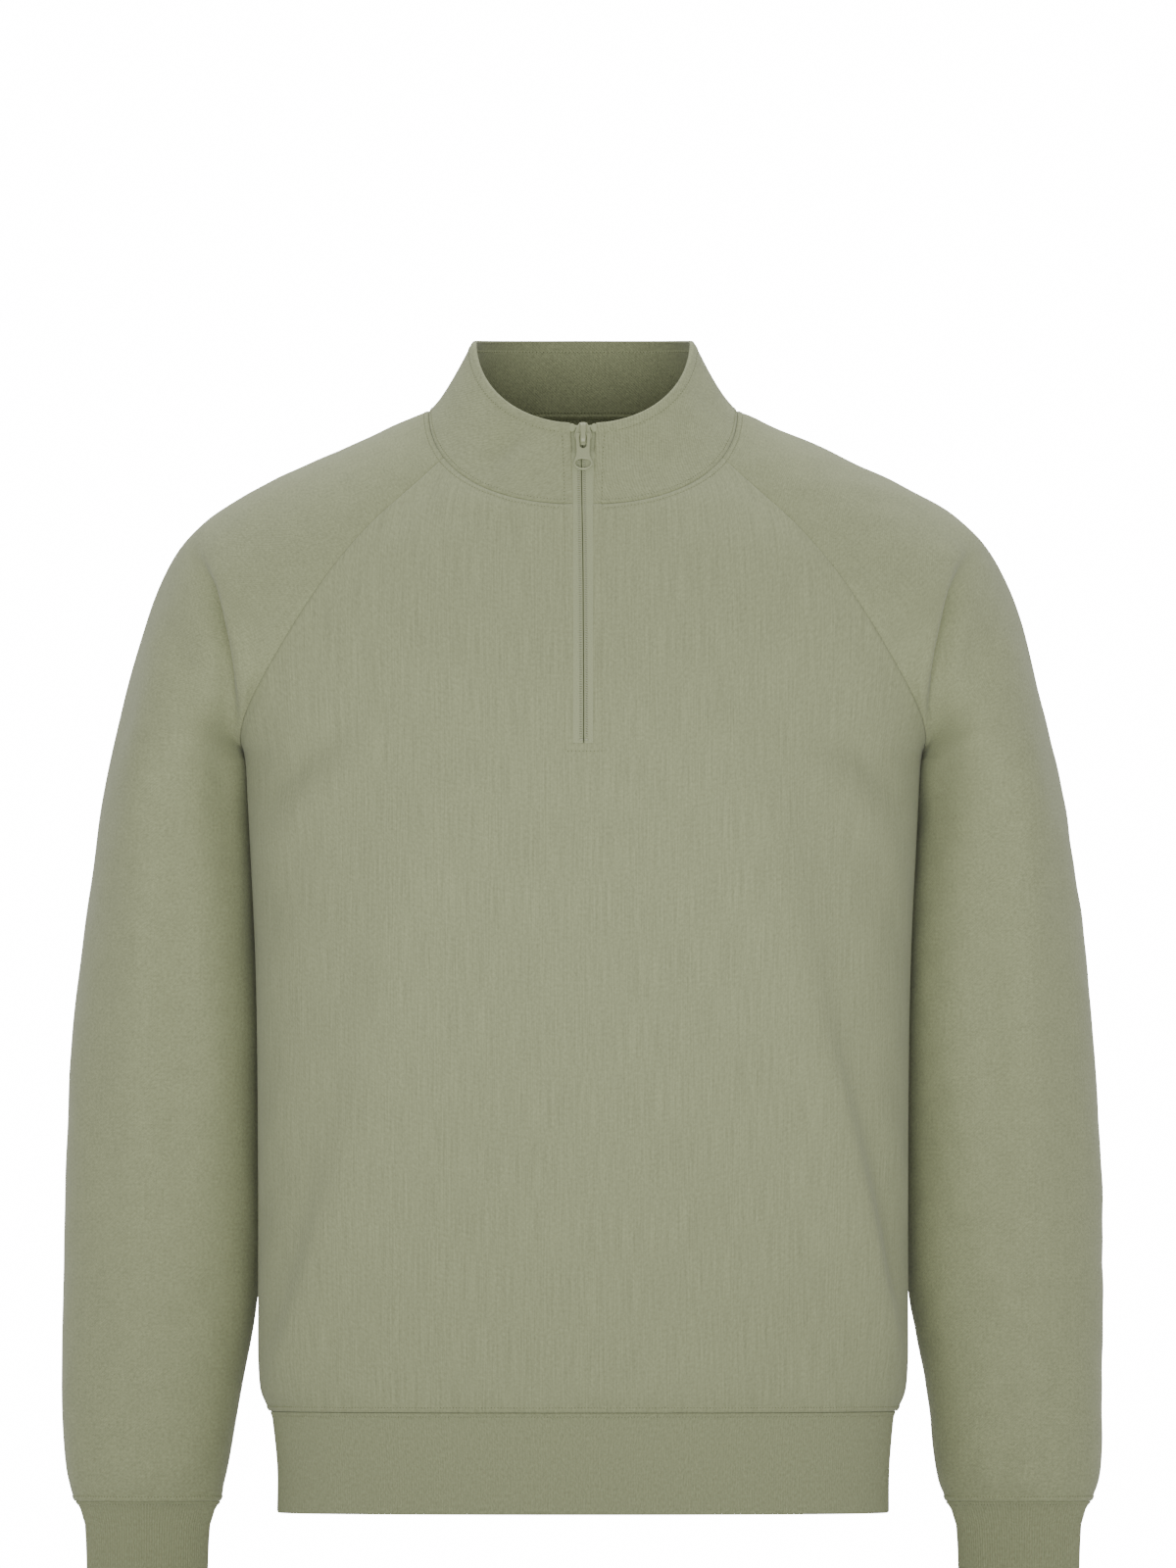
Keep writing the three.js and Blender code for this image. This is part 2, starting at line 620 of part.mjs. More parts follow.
function cuffPoint(drop, angle) {
  const x = CUFF.middle(drop) + CUFF.half(drop) * Math.sin(angle);
  return new THREE.Vector3(x, CUFF_Y - CUFF.depth(drop) * Math.cos(angle), -drop);
}

addMesh('hem_band', ribbed(HEM_ROWS, HEM_RIBS, hemPoint), RIB_CLOTH);
addMesh('cuff_left', ribbed(CUFF_ROWS, CUFF_RIBS, cuffPoint), RIB_CLOTH);
addMesh('cuff_right', ribbed(CUFF_ROWS, CUFF_RIBS, (drop, angle) => {
  const point = cuffPoint(drop, -angle);
  return point.setX(-point.x);
}), RIB_CLOTH);

// ---------------------------------------------------------------- zip
const TAPE_TOP = 0.985; // just below the collar's rim
const TAPE_ROWS = [
  ...[TAPE_TOP, 0.86, 0.82, 0.7, 0.4, 0.2, 0.05].map((up) => ({ up })),
  ...[0.1, ...UPPER_ROWS.slice(1, ZIP_ROW), 8.3, 8.42, 8.62].map((row) => ({ row })),
];
const TEETH_ROWS = TAPE_ROWS.length - 2; // the rows that carry teeth

/** One tape, under the cloth's edge, with its half of the closed teeth along its inner edge. */
function tape() {
  const made = grid(TAPE_ROWS.length, 5, (i, j) => {
    const { up, row } = TAPE_ROWS[i];
    const inner = up > 0.85 ? POST_ROOM : TAPE_MIDDLE;
    const x = [inner, TEETH_HALF - 0.2, TEETH_HALF, ZIP_HALF, TAPE_HALF][j];
    return up === undefined ? panelPoint('front', row, x) : collarPoint(x, 0, up);
  });
  const normals = normalsOf(made.points, made.quads);
  made.points.forEach((p, i) => p.addScaledVector(normals[i], -(WALL + TAPE_BACK)));
  const raise = made.points.map((_, n) => (n % 5 < 2 && n < 5 * TEETH_ROWS ? TEETH_RISE : 0));
  return { made, normals, raise };
}

for (const side of ['left', 'right']) {
  const { made, normals, raise } = tape();
  if (side === 'right') {
    mirrored(made);
    normals.forEach((normal) => { normal.x *= -1; });
  }
  addMesh(`zip_tape_${side}`, shell(made.points, made.quads, TAPE_WALL, normals, raise), TAPE);
}

// The slider and pull are made flat, then laid along the collar's front: +Y up the zip and
// +Z away from the garment, from the rim's height on the cloth's outer face.
const rimFront = collarPoint(0, 0, 1);
const neckFront = collarPoint(0, 0, 0);
const zipLean = Math.atan2(rimFront.z - neckFront.z, rimFront.y - neckFront.y);

const SLIDER = { top: 0, front: 1.0, under: -0.75 };
// The face's outline: how far along it lies, and half its width there.
const SLIDER_FACE = [
  [0, 1.6], [-0.7, 2.7], [-3, 3.8], [-6, 5], [-8.6, 5.7], [-10.4, 5.6], [-13.4, 4.4],
  [-15, 3.9], [-15.6, 3.2],
];
const BACK_PLATE = { front: -3.75, thick: 1.1 };
const BRIDGE = { top: -1, bottom: -15.2, width: 3.5, height: 4.3, hole: 1.35 };
const HINGE = { along: -9.2, out: 2.3 };
const PULL = {
  thick: 1.4, top: 0.8, armHalf: 4.6, slotHalf: 2.1, slotBottom: -10, waist: 4.25,
  ringMiddle: -20.8, ringHalf: 6.4, ringTall: 4.6, holeHalf: 5.1, holeTall: 3.3,
};

function solid(geometry) {
  geometry.deleteAttribute('normal');
  geometry.deleteAttribute('uv');
  const merged = mergeVertices(geometry, 1e-4);
  const mesh = new wasm.Mesh({
    numProp: 3,
    vertProperties: new Float32Array(merged.attributes.position.array),
    triVerts: new Uint32Array(merged.index.array),
  });
  return new wasm.Manifold(mesh);
}

function fromSolid(body) {
  const mesh = body.getMesh();
  const geometry = new THREE.BufferGeometry();
  geometry.setAttribute('position', new THREE.BufferAttribute(mesh.vertProperties, 3));
  geometry.setIndex(new THREE.BufferAttribute(mesh.triVerts, 1));
  geometry.computeVertexNormals();
  return geometry;
}

function outline(points) {
  return new THREE.Shape(points.map(([x, y]) => new THREE.Vector2(x, y)));
}

function ovalHole(x, y, half, tall, sides) {
  const points = Array.from({ length: sides }, (_, i) => {
    const angle = (-2 * Math.PI * i) / sides;
    return new THREE.Vector2(x + half * Math.cos(angle), y + tall * Math.sin(angle));
  });
  return new THREE.Path(points);
}

function plate(shape, from, to) {
  const geometry = new THREE.ExtrudeGeometry(shape, { depth: to - from, bevelEnabled: false });
  return geometry.translate(0, 0, from);
}

function sliderGeometry() {
  const left = SLIDER_FACE.map(([along, half]) => [-half, along]);
  const right = SLIDER_FACE.map(([along, half]) => [half, along]);
  const face = outline([...left, ...right.reverse()]);
  const frontPlate = solid(plate(face, SLIDER.under, SLIDER.front));
  const backPlate = solid(plate(face, BACK_PLATE.front - BACK_PLATE.thick, BACK_PLATE.front));
  const post = solid(new THREE.BoxGeometry(2, 4, SLIDER.front - BACK_PLATE.front + 1)
    .translate(0, SLIDER.top - 3, (SLIDER.front + BACK_PLATE.front - 1) / 2));
  // The bridge's side view has its height across and its length up, with a hole for the pull.
  const sideView = outline([
    [0.5, BRIDGE.top], [BRIDGE.height - 1.6, BRIDGE.top - 0.4], [BRIDGE.height - 0.4, BRIDGE.top - 2],
    [BRIDGE.height, BRIDGE.top - 4], [BRIDGE.height, BRIDGE.bottom + 4],
    [BRIDGE.height - 0.4, BRIDGE.bottom + 2], [BRIDGE.height - 1.6, BRIDGE.bottom + 0.4],
    [0.5, BRIDGE.bottom],
  ].reverse());
  sideView.holes.push(ovalHole(HINGE.out, HINGE.along, BRIDGE.hole, BRIDGE.hole, 12));
  const bridge = plate(sideView, -BRIDGE.width / 2, BRIDGE.width / 2).rotateY(-Math.PI / 2);
  return fromSolid(frontPlate.add(backPlate).add(post).add(solid(bridge)));
}

function pullGeometry() {
  const p = PULL;
  const steps = 14;
  const reach = Math.PI * 0.64;
  const ring = [];
  for (let i = 0; i <= steps; i++) {
    const angle = mix(-reach, reach, i / steps);
    ring.push([p.ringHalf * Math.sin(angle), p.ringMiddle - p.ringTall * Math.cos(angle)]);
  }
  const face = outline([
    [-p.armHalf + 0.8, p.top], [-p.armHalf, p.top - 0.8], [-p.armHalf, p.slotBottom + 1.5],
    [-p.waist, p.slotBottom - 1.6], [-p.waist - 0.1, p.slotBottom - 4], ...ring,
    [p.waist + 0.1, p.slotBottom - 4], [p.waist, p.slotBottom - 1.6],
    [p.armHalf, p.slotBottom + 1.5], [p.armHalf, p.top - 0.8],
    [p.armHalf - 0.8, p.top],
  ]);
  const slot = new THREE.Path();
  slot.moveTo(-p.slotHalf, -0.8);
  slot.lineTo(-p.slotHalf, p.slotBottom + 0.6);
  slot.lineTo(-p.slotHalf + 0.6, p.slotBottom);
  slot.lineTo(p.slotHalf - 0.6, p.slotBottom);
  slot.lineTo(p.slotHalf, p.slotBottom + 0.6);
  slot.lineTo(p.slotHalf, -0.8);
  slot.closePath();
  face.holes.push(slot, ovalHole(0, p.ringMiddle, p.holeHalf, p.holeTall, 20));
  return fromSolid(solid(plate(face, -p.thick / 2, p.thick / 2)));
}

const zipFront = new THREE.Group();
zipFront.position.copy(rimFront);
zipFront.rotation.x = zipLean;
group.add(zipFront);
const metal = { color: METAL, roughness: 0.5, metalness: 0.3 };
const slider = new THREE.Mesh(sliderGeometry(), new THREE.MeshStandardMaterial(metal));
slider.name = 'zip_slider';
const pull = new THREE.Mesh(pullGeometry(), new THREE.MeshStandardMaterial(metal));
pull.name = 'pull_tab';
pull.position.set(0, HINGE.along, HINGE.out);
zipFront.add(slider, pull);

export default group;
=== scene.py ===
"""A quarter-zip raglan sweatshirt, filled out as if worn, with nobody in it.

The surfaces are worked out in millimetres: +X is the wearer's left, -Y the front and +Z up, from
the middle of the neck. Their sections are the solids' own, written out again here, and their
folds are finer than the solids'. They are scaled to metres when a piece is made.
"""
import math
import bmesh
import bpy
import numpy as np
from mathutils import Matrix, Vector


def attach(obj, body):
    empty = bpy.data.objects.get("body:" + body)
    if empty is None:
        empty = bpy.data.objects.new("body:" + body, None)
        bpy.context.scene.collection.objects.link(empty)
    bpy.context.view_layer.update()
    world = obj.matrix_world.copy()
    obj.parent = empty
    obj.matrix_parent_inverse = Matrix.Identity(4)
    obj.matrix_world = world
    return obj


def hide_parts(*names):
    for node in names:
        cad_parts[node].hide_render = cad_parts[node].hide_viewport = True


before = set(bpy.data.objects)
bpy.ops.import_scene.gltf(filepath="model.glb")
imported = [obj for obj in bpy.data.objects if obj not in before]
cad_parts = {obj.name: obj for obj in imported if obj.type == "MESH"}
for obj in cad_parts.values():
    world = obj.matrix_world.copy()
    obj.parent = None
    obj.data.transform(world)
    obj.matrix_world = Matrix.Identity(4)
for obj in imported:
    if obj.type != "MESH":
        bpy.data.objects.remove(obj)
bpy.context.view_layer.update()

MM = 0.001
WALL = 2.0           # sweatshirt cloth
COLLAR_WALL = 2.6    # the collar is doubled
LAP = 0.18           # how far a piece runs past its seam line, so that no light comes through
TUCK = 0.4           # how deep the cloth rolls into a seam
SEAM_ROUND = 0.35    # how round a sewn edge is
ZIP_HALF = 6.2       # from the middle of the zip to the folded edge of the cloth
ZIP_SPREAD = 2.2     # how much wider the opening is at the collar's rim
ZIP_END = 8.5        # station at the foot of the zip
UNDERARM_AT = 9      # station of the underarm point
HEM_AT = 22          # station of the body's lower end
CUFF_AT = 19         # and of the sleeve's
WAIST_AT = 14.0
QUARTER_ROUND = 1.27  # a quarter of the way round the waist, for each unit of its half width
COLLAR_HOLLOW = 12.6  # how far the collar is drawn in between its seam and its rim
RIB_PITCH = 1.64     # from one rib to the next
CUFF_RIB_RISE = 0.8  # how high the ribs stand
HEM_RIB_RISE = 0.4


# ------------------------------------------------------------------ tables
def natural_spline(at, value):
    """A smooth function through a column of a table."""
    at = np.asarray(at, float)
    value = np.asarray(value, float)
    n = len(at)
    gaps = np.diff(at)
    slopes = np.diff(value) / gaps
    matrix = np.eye(n)
    right = np.zeros(n)
    for i in range(1, n - 1):
        matrix[i, i - 1:i + 2] = gaps[i - 1], 2 * (gaps[i - 1] + gaps[i]), gaps[i]
        right[i] = 6 * (slopes[i] - slopes[i - 1])
    bend = np.linalg.solve(matrix, right)

    def curve(x):
        x = np.asarray(x, float)
        i = np.clip(np.searchsorted(at, x) - 1, 0, n - 2)
        b = (x - at[i]) / gaps[i]
        a = 1 - b
        cubic = (a ** 3 - a) * bend[i] + (b ** 3 - b) * bend[i + 1]
        return a * value[i] + b * value[i + 1] + cubic * gaps[i] ** 2 / 6

    return curve


class Table:
    """Rows of sections. The first column is the place, and the others are functions of it."""

    def __init__(self, names, rows):
        columns = np.array(rows, float).T
        for name, column in zip(names.split()[1:], columns[1:]):
            setattr(self, name, natural_spline(columns[0], column))


NECK = dict(half=101, front=88, back=84, power=2.3)
RIM = dict(half=71, front=65, back=75, power=2.15)

# Stations 0 to 9 run down the raglan seams to the underarm point.
FRONT_SEAM = Table("station x z turn bulge", [
    (0, 91, -30.2, 68, 49),
    (1, 113, -50, 68, 66.9),
    (2, 134.5, -69, 70, 80.9),
    (3, 155, -91, 72, 91.5),
    (4, 174, -116, 76, 96),
    (5, 192, -144, 85, 94),
    (6, 207, -170, 100, 88),
    (7, 219, -194, 120, 80.8),
    (8, 223.5, -212, 150, 74),
    (9, 221.8, -222, 180, 70),
])
BACK_SEAM = Table("station x z turn bulge", [
    (0, 72, -3.5, 66, 70),
    (1, 95, -22, 66, 75.5),
    (2, 118, -45, 68, 82.4),
    (3, 142, -72, 70, 86),
    (4, 165, -103, 76, 84),
    (5, 186, -136, 86, 79),
    (6, 203, -168, 102, 76),
    (7, 215, -195, 124, 74),
    (8, 222, -213, 152, 72),
    (9, 221.8, -222, 180, 72),
])
# The sleeve's outermost line, from the neck to the cuff.
SHOULDER = Table("station x y z", [
    (0, 101, 0, -1.2),
    (1, 126, 2, -10),
    (2, 159, 3, -25),
    (3, 194, 4, -41),
    (4, 228, 6, -59),
    (5, 257, 8, -81),
    (6, 275, 10, -109),
    (7, 287, 12, -141),
    (8, 296, 15, -173),
    (9, 303.5, 18, -204),
    (10, 312, 22, -243),
    (11, 319, 25, -283),
    (12, 326.5, 28, -340),
    (13, 333.6, 31, -410),
    (14, 337.8, 33, -480),
    (15, 340, 34, -560),
    (16, 340.4, 33, -621),
    (17, 340.2, 32, -659),
    (18, 338.3, 30, -691),
    (19, 332.4, 29, -711.6),
])
# The closed sleeve's inner line, below the underarm point, and how deep its halves are.
UNDERARM = Table("station x y z front back", [
    (9, 221.8, 1.5, -222, 70, 72),
    (9.5, 220, 14, -234, 70, 72),
    (10, 217, 24, -251, 69, 71),
    (11, 214.4, 29, -286, 69, 70),
    (12, 211.6, 32, -341, 67, 68),
    (13, 209.2, 35, -410, 64, 65),
    (14, 208.6, 36, -480, 61, 62),
    (15, 211, 36, -560, 57, 58),
    (16, 220, 34, -621, 52, 53),
    (17, 226.5, 32, -659, 47, 48),
    (18, 231.2, 30, -691, 41, 42),
    (19, 236.8, 29, -711.6, 32, 33),
])
# The body's sections: half widths, the middles of the front and back, and the side line.
BODY_UPPER = [
    (0, 101, -88, -60.8, 101, 84, -3.8, 2.3, 0),
    (1, 136, -95, -74, 140, 90, -20, 2.27, 0),
    (2, 175.5, -102.5, -90, 182, 98, -42, 2.24, 0),
    (3, 212, -110, -108, 222, 105, -68, 2.2, 0),
    (4, 237, -117, -128, 247, 111, -98, 2.17, 0),
    (5, 245, -123.5, -150, 254, 115.5, -130, 2.13, 0),
    (6, 241, -128, -172, 248, 119, -162, 2.1, 0),
    (7, 232.5, -131, -193, 238, 121, -190, 2.08, 0),
    (8, 226, -132.8, -210, 228.5, 122, -210, 2.06, 0.8),
]
# Below the underarm the front and back share their half widths and heights.
FRONT_POWER = 2.3
BACK_POWER = 2.05
BODY_LOWER = [
    (station, half, front_y, z, half, back_y, z, BACK_POWER, side)
    for station, half, front_y, back_y, z, side in [
        (9, 221.8, -133.8, 122.6, -222, 1.5),
        (10, 219.8, -134.5, 122.9, -236, -1),
        (11, 218.8, -134.7, 122.9, -254, -4),
        (12, 217.5, -134, 122.2, -281, -7),
        (13, 215.7, -132.5, 121.3, -315, -8),
        (14, 213.8, -130, 120, -360, -8),
        (15, 212.6, -125.5, 118.2, -420, -8),
        (16, 212.1, -121, 115.8, -490, -7),
        (17, 212, -118.5, 114.5, -550, -6),
        (18, 212.2, -117, 113.5, -600, -5),
        (19, 212, -116.5, 113, -621, -5),
        (20, 210.8, -115.5, 112.2, -636, -4),
        (21, 208.2, -113.5, 110.4, -645, -4),
        (22, 204.6, -110.3, 107.6, -652.3, -4),
    ]
]
BODY = Table("station front front_y front_z back back_y back_z back_power side",
             BODY_UPPER + BODY_LOWER)
HEM = Table("drop half front back side", [
    (652.8, 203.6, -109.6, 107, -4),
    (658, 202.6, -108.8, 106.2, -4),
    (668, 201.6, -108, 105.4, -4),
    (684, 200.2, -107.2, 104.8, -4),
    (719, 199.4, -106.6, 104.4, -4),
])
CUFF = Table("drop middle half depth", [
    (712.1, 284.6, 47, 31.4),
    (716, 284.7, 44.3, 28.6),
    (722, 284.8, 41.6, 26),
    (732, 284.9, 40.2, 24.6),
    (781, 284.9, 39.3, 24),
])
CUFF_Y = 29

# Folds are lines seen from the front or back: x, z, height (a trough is negative), and how far
# each fades towards the garment's middle and away from it.
FRONT_FOLDS = [
    # the long ridge down the wearer's left, sharpest low down, and the trough outside it
    [(104, -215, 0.4, 26, 22), (112, -237, 1.5, 26, 22), (131, -317, 4.2, 30, 18),
     (147, -381, 5.4, 30, 14), (163, -448, 6, 28, 12), (179, -512, 6.6, 26, 10),
     (192, -570, 6.4, 22, 8), (203, -611, 4, 18, 7), (209, -636, 1, 12, 6)],
    [(158, -370, -0.6, 10, 16), (178, -448, -2, 9, 14), (194, -512, -2.6, 8, 12),
     (204, -570, -1.6, 7, 8)],
    # the softer one on the other side
    [(-108, -235, 0.4, 26, 24), (-118, -307, 2.4, 28, 22), (-128, -371, 3.2, 30, 20),
     (-144, -454, 3.8, 30, 17), (-170, -544, 4, 26, 13), (-192, -604, 3, 20, 10),
     (-204, -636, 1, 14, 8)],
    [(-176, -500, -0.8, 10, 14), (-192, -560, -2, 9, 12), (-203, -600, -1.2, 8, 8)],
    # drags from the underarms
    [(-132, -205, 0.6, 12, 14), (-150, -226, 1.8, 13, 15), (-172, -250, 2.4, 13, 15),
     (-200, -278, 1, 11, 11)],
    [(-150, -200, -0.4, 10, 10), (-176, -224, -1.4, 10, 11), (-204, -248, -1, 9, 9)],
    [(140, -222, 0.4, 13, 13), (168, -246, 1.8, 13, 14), (200, -282, 0.8, 11, 11)],
    [(160, -205, -0.4, 10, 10), (182, -226, -1.2, 10, 10), (206, -252, -0.8, 8, 8)],
    # wide, shallow hollows of the chest and waist
    [(-60, -250, -1.2, 34, 34), (-66, -380, -2.2, 38, 38), (-84, -520, -1.6, 36, 36)],
    [(62, -300, -1, 34, 34), (78, -420, -2, 34, 34), (104, -540, -1.6, 30, 30)],
    [(-20, -320, 0.6, 40, 40), (0, -460, 1.4, 46, 46), (6, -590, 0.8, 40, 40)],
    # short puffs where the body is gathered onto the hem band
    [(-150, -640, 0.9, 12, 12), (-138, -618, 0.5, 14, 14)],
    [(-66, -641, 0.7, 14, 14), (-60, -622, 0.3, 14, 14)],
    [(22, -641, 0.8, 15, 15), (28, -620, 0.3, 16, 16)],
    [(118, -640, 0.9, 13, 13), (112, -616, 0.4, 14, 14)],
    [(-108, -640, -0.8, 10, 10), (-102, -622, -0.3, 12, 12)],
    [(74, -640, -0.8, 11, 11), (78, -620, -0.3, 12, 12)],
]
BACK_FOLDS = [
    [(-120, -250, 1.5, 26, 22), (-140, -350, 3.8, 28, 18), (-160, -460, 4.6, 26, 14),
     (-180, -560, 4.2, 24, 10), (-198, -628, 1.5, 16, 8)],
    [(110, -240, 1, 26, 24), (128, -360, 3.2, 28, 20), (150, -480, 4, 26, 14),
     (184, -600, 3, 20, 10)],
    [(-90, -150, 0.5, 16, 20), (-50, -176, 1.8, 18, 22), (0, -186, 1.4, 20, 20),
     (60, -170, 0.5, 18, 18)],
    [(-70, -215, -0.4, 20, 20), (-10, -236, -1.6, 24, 24), (60, -222, -0.5, 20, 20)],
    [(150, -214, 0.5, 13, 13), (176, -244, 2, 13, 14), (202, -280, 0.8, 11, 11)],
    [(-146, -210, 0.5, 13, 13), (-170, -240, 2.2, 13, 14), (-200, -276, 0.8, 11, 11)],
    [(-40, -330, -0.8, 34, 34), (-50, -440, -2, 38, 38), (-60, -560, -1, 34, 34)],
    [(46, -340, -0.8, 34, 34), (60, -460, -1.8, 36, 36), (76, -580, -1, 30, 30)],
    [(-96, -640, 0.8, 14, 14), (-90, -618, 0.3, 14, 14)],
    [(30, -641, 0.8, 15, 15), (24, -618, 0.3, 15, 15)],
    [(140, -640, 0.9, 12, 12), (132, -618, 0.4, 13, 13)],
]
# The sleeves' folds are alike, as seen on the wearer's left, with small differences of height.
# The crease between chest and arm has a steep side towards the chest.
CREASE = [
    (256, -84, -0.6, 5, 9), (250, -98, -3.0, 3, 8), (244.5, -106, -5.0, 2.2, 8),
    (238, -126, -8.4, 1.8, 8), (232, -153.6, -10.4, 1.7, 9), (227.5, -181.5, -8.4, 1.7, 10),
    (224.5, -202, -5.2, 2, 11), (223, -220, -3.2, 3, 13), (222, -244, -1.2, 4, 14),
    (222, -270, 0, 4, 14),
]
# the softer hollow on the arm's side of it
BESIDE_CREASE_FOLD = [
    (258, -92, -0.4, 8, 16), (250, -112, -1.8, 7, 20), (243, -140, -3.2, 6, 24),
    (238, -170, -3.6, 6, 24), (234, -196, -2, 6, 20), (231, -216, 0, 6, 16),
]
SLEEVE_FRONT_FOLDS = [
    CREASE, BESIDE_CREASE_FOLD,
    # the cloth that hangs over it
    [(240, -92, 0.8, 12, 7), (232, -124, 2.4, 12, 5), (225, -154, 2.9, 9, 4),
     (220.5, -182, 2.0, 6, 4), (218, -200, 0.4, 5, 4)],
    # the wedge beside it
    [(272, -140, -0.8, 10, 12), (262, -158, -2.6, 10, 14), (249, -180, -3.4, 10, 18),
     (238, -206, -2.6, 12, 20), (232, -232, -4.6, 12, 22), (232, -270, -3.8, 13, 24),
     (236, -330, -1.8, 14, 22), (240, -400, 0, 16, 20)],
    [(280, -158, 0.4, 12, 10), (268, -186, 1.2, 12, 12), (262, -220, 0.4, 14, 12)],
    # the long ridge down the arm and the trough inside it
    [(288, -128, 0.8, 16, 14), (290, -170, 2, 15, 13), (291, -230, 2.8, 15, 13),
     (290, -340, 3, 17, 14), (293, -460, 2.6, 22, 18), (300, -580, 1.4, 24, 20)],
    [(268, -250, -0.6, 14, 14), (266, -320, -1.8, 14, 14), (267, -400, -2.4, 14, 15),
     (272, -480, -1.4, 16, 16), (282, -560, -0.6, 16, 16)],
    [(236, -300, 0.6, 14, 12), (238, -400, 1.4, 16, 13), (244, -500, 1, 18, 14)],
    # elbow and wrist
    [(318, -420, -0.6, 16, 10), (312, -470, -1.6, 16, 12), (300, -520, -0.6, 16, 14)],
    [(246, -566, -0.4, 10, 10), (262, -588, -1.2, 12, 12), (284, -604, -0.5, 12, 12)],
    [(326, -604, -0.4, 12, 10), (306, -634, -1.3, 12, 12), (280, -648, -0.4, 12, 12)],
    [(240, -660, 0.8, 14, 10), (262, -690, 1.8, 20, 20), (300, -692, 1.6, 20, 20),
     (326, -668, 0.8, 10, 14)],
    [(250, -700, -1, 7, 7), (254, -684, -0.3, 8, 8)],
    [(276, -702, -1.1, 7, 7), (273, -682, -0.3, 8, 8)],
    [(304, -702, -0.9, 7, 7), (306, -684, -0.3, 8, 8)],
    [(322, -700, -0.8, 6, 6), (318, -682, -0.3, 7, 7)],
]
SLEEVE_BACK_FOLDS = [
    [(252, -110, -1, 8, 12), (244, -130, -4, 8, 14), (234, -165, -8, 7, 16),
     (227, -200, -7, 7, 14), (223, -222, -2, 7, 10)],
    [(278, -150, -0.6, 10, 12), (256, -186, -3, 10, 13), (236, -214, -2, 9, 11)],
    [(292, -190, 1, 16, 14), (286, -320, 2.4, 18, 16), (296, -500, 2, 22, 18)],
    [(256, -420, -1.6, 16, 16), (274, -460, -2.4, 15, 15), (304, -480, -1, 14, 12)],
    [(250, -470, -1, 12, 12), (272, -506, -2, 12, 14), (304, -524, -0.8, 12, 12)],
    [(244, -660, 0.8, 14, 10), (284, -690, 1.8, 24, 24), (324, -666, 0.8, 10, 14)],
    [(262, -702, -1, 7, 7), (264, -684, -0.3, 8, 8)],
    [(300, -702, -1, 7, 7), (298, -684, -0.3, 8, 8)],
]
COLLAR_FOLDS = [
    [(-38, -10, -0.8, 9, 9), (-46, -17, -3.2, 8, 10), (-53, -25, -4.2, 8, 10),
     (-60, -36, -1.4, 8, 8)],
    [(-30, -22, 0.5, 9, 9), (-38, -32, 1.2, 9, 9), (-46, -44, 0.4, 8, 8)],
    [(26, -18, -0.6, 9, 9), (35, -26, -2.8, 9, 10), (46, -38, -0.9, 9, 9)],
    [(70, 24, -0.5, 8, 10), (78, 12, -1.2, 9, 9), (84, 0, -0.4, 8, 8)],
]


# ------------------------------------------------------------------ surfaces
def xyz(x, y, z):
    return np.stack(np.broadcast_arrays(x, y, z), -1)


def ease(share):
    s = np.clip(share, 0, 1)
    return s * s * (3 - 2 * s)


def soft_min(a, b, round_off):
    return (a + b - np.hypot(a - b, round_off)) / 2


def neck_height(y):
    return 3 + 0.72 * soft_min(y, 0, 12) - 0.06 * np.maximum(y, 0)


def rim_height(y):
    return soft_min(47.2, 49.5 + 0.88 * y, 4)


def ring_point(ring, height, angle):
    """A point of the neck seam or the rim, by its angle from the middle of the front."""
    s = np.sin(angle)
    c = np.cos(angle)
    power = 2 / ring["power"]
    x = ring["half"] * np.sign(s) * np.abs(s) ** power
    y = np.where(c > 0, -ring["front"], ring["back"]) * np.abs(c) ** power
    return xyz(x, y, height(y))


def ring_angle(ring, x):
    return np.arcsin((x / ring["half"]) ** (ring["power"] / 2))


def smooth_line(line, parts=6):
    """A fold's points with its corners rounded off."""
    rows = np.array(line, float)
    at = np.arange(len(rows))
    fine = np.linspace(0, len(rows) - 1, parts * (len(rows) - 1) + 1)
    return np.stack([natural_spline(at, column)(fine) for column in rows.T], -1)


def fold_height(folds, x, z):
    """How far the folds lift the cloth at each point."""
    total = np.zeros(x.shape)
    for line in folds:
        rows = smooth_line(line)
        near = np.full(x.shape, np.inf)
        height = np.zeros(x.shape)
        fade = np.ones(x.shape)
        for (x0, z0, h0, in0, out0), (x1, z1, h1, in1, out1) in zip(rows[:-1], rows[1:]):
            dx = x1 - x0
            dz = z1 - z0
            s = np.clip(((x - x0) * dx + (z - z0) * dz) / (dx * dx + dz * dz), 0, 1)
            px = x - x0 - dx * s
            pz = z - z0 - dz * s
            gap = np.hypot(px, pz)
            closer = gap < near
            side = px * np.sign(x0 + x1) < 0
            reach = np.where(side, in0 + (in1 - in0) * s, out0 + (out1 - out0) * s)
            near = np.where(closer, gap, near)
            height = np.where(closer, h0 + (h1 - h0) * s, height)
            fade = np.where(closer, reach, fade)
        total += height * np.exp(-(near / fade) ** 2)
    return total


def section(side, row):
    """The front's or back's section at a row: half width, power, side line, depth, height."""
    middle = BODY.side(row)
    if side == "front":
        return BODY.front(row), FRONT_POWER, middle, BODY.front_y(row) - middle, BODY.front_z(row)
    return BODY.back(row), BODY.back_power(row), middle, BODY.back_y(row) - middle, BODY.back_z(row)


def section_y(cut, x):
    half, power, middle, deep, _ = cut
    share = np.minimum(1, np.abs(x) / half)
    return middle + deep * (1 - share ** power) ** (1 / power)


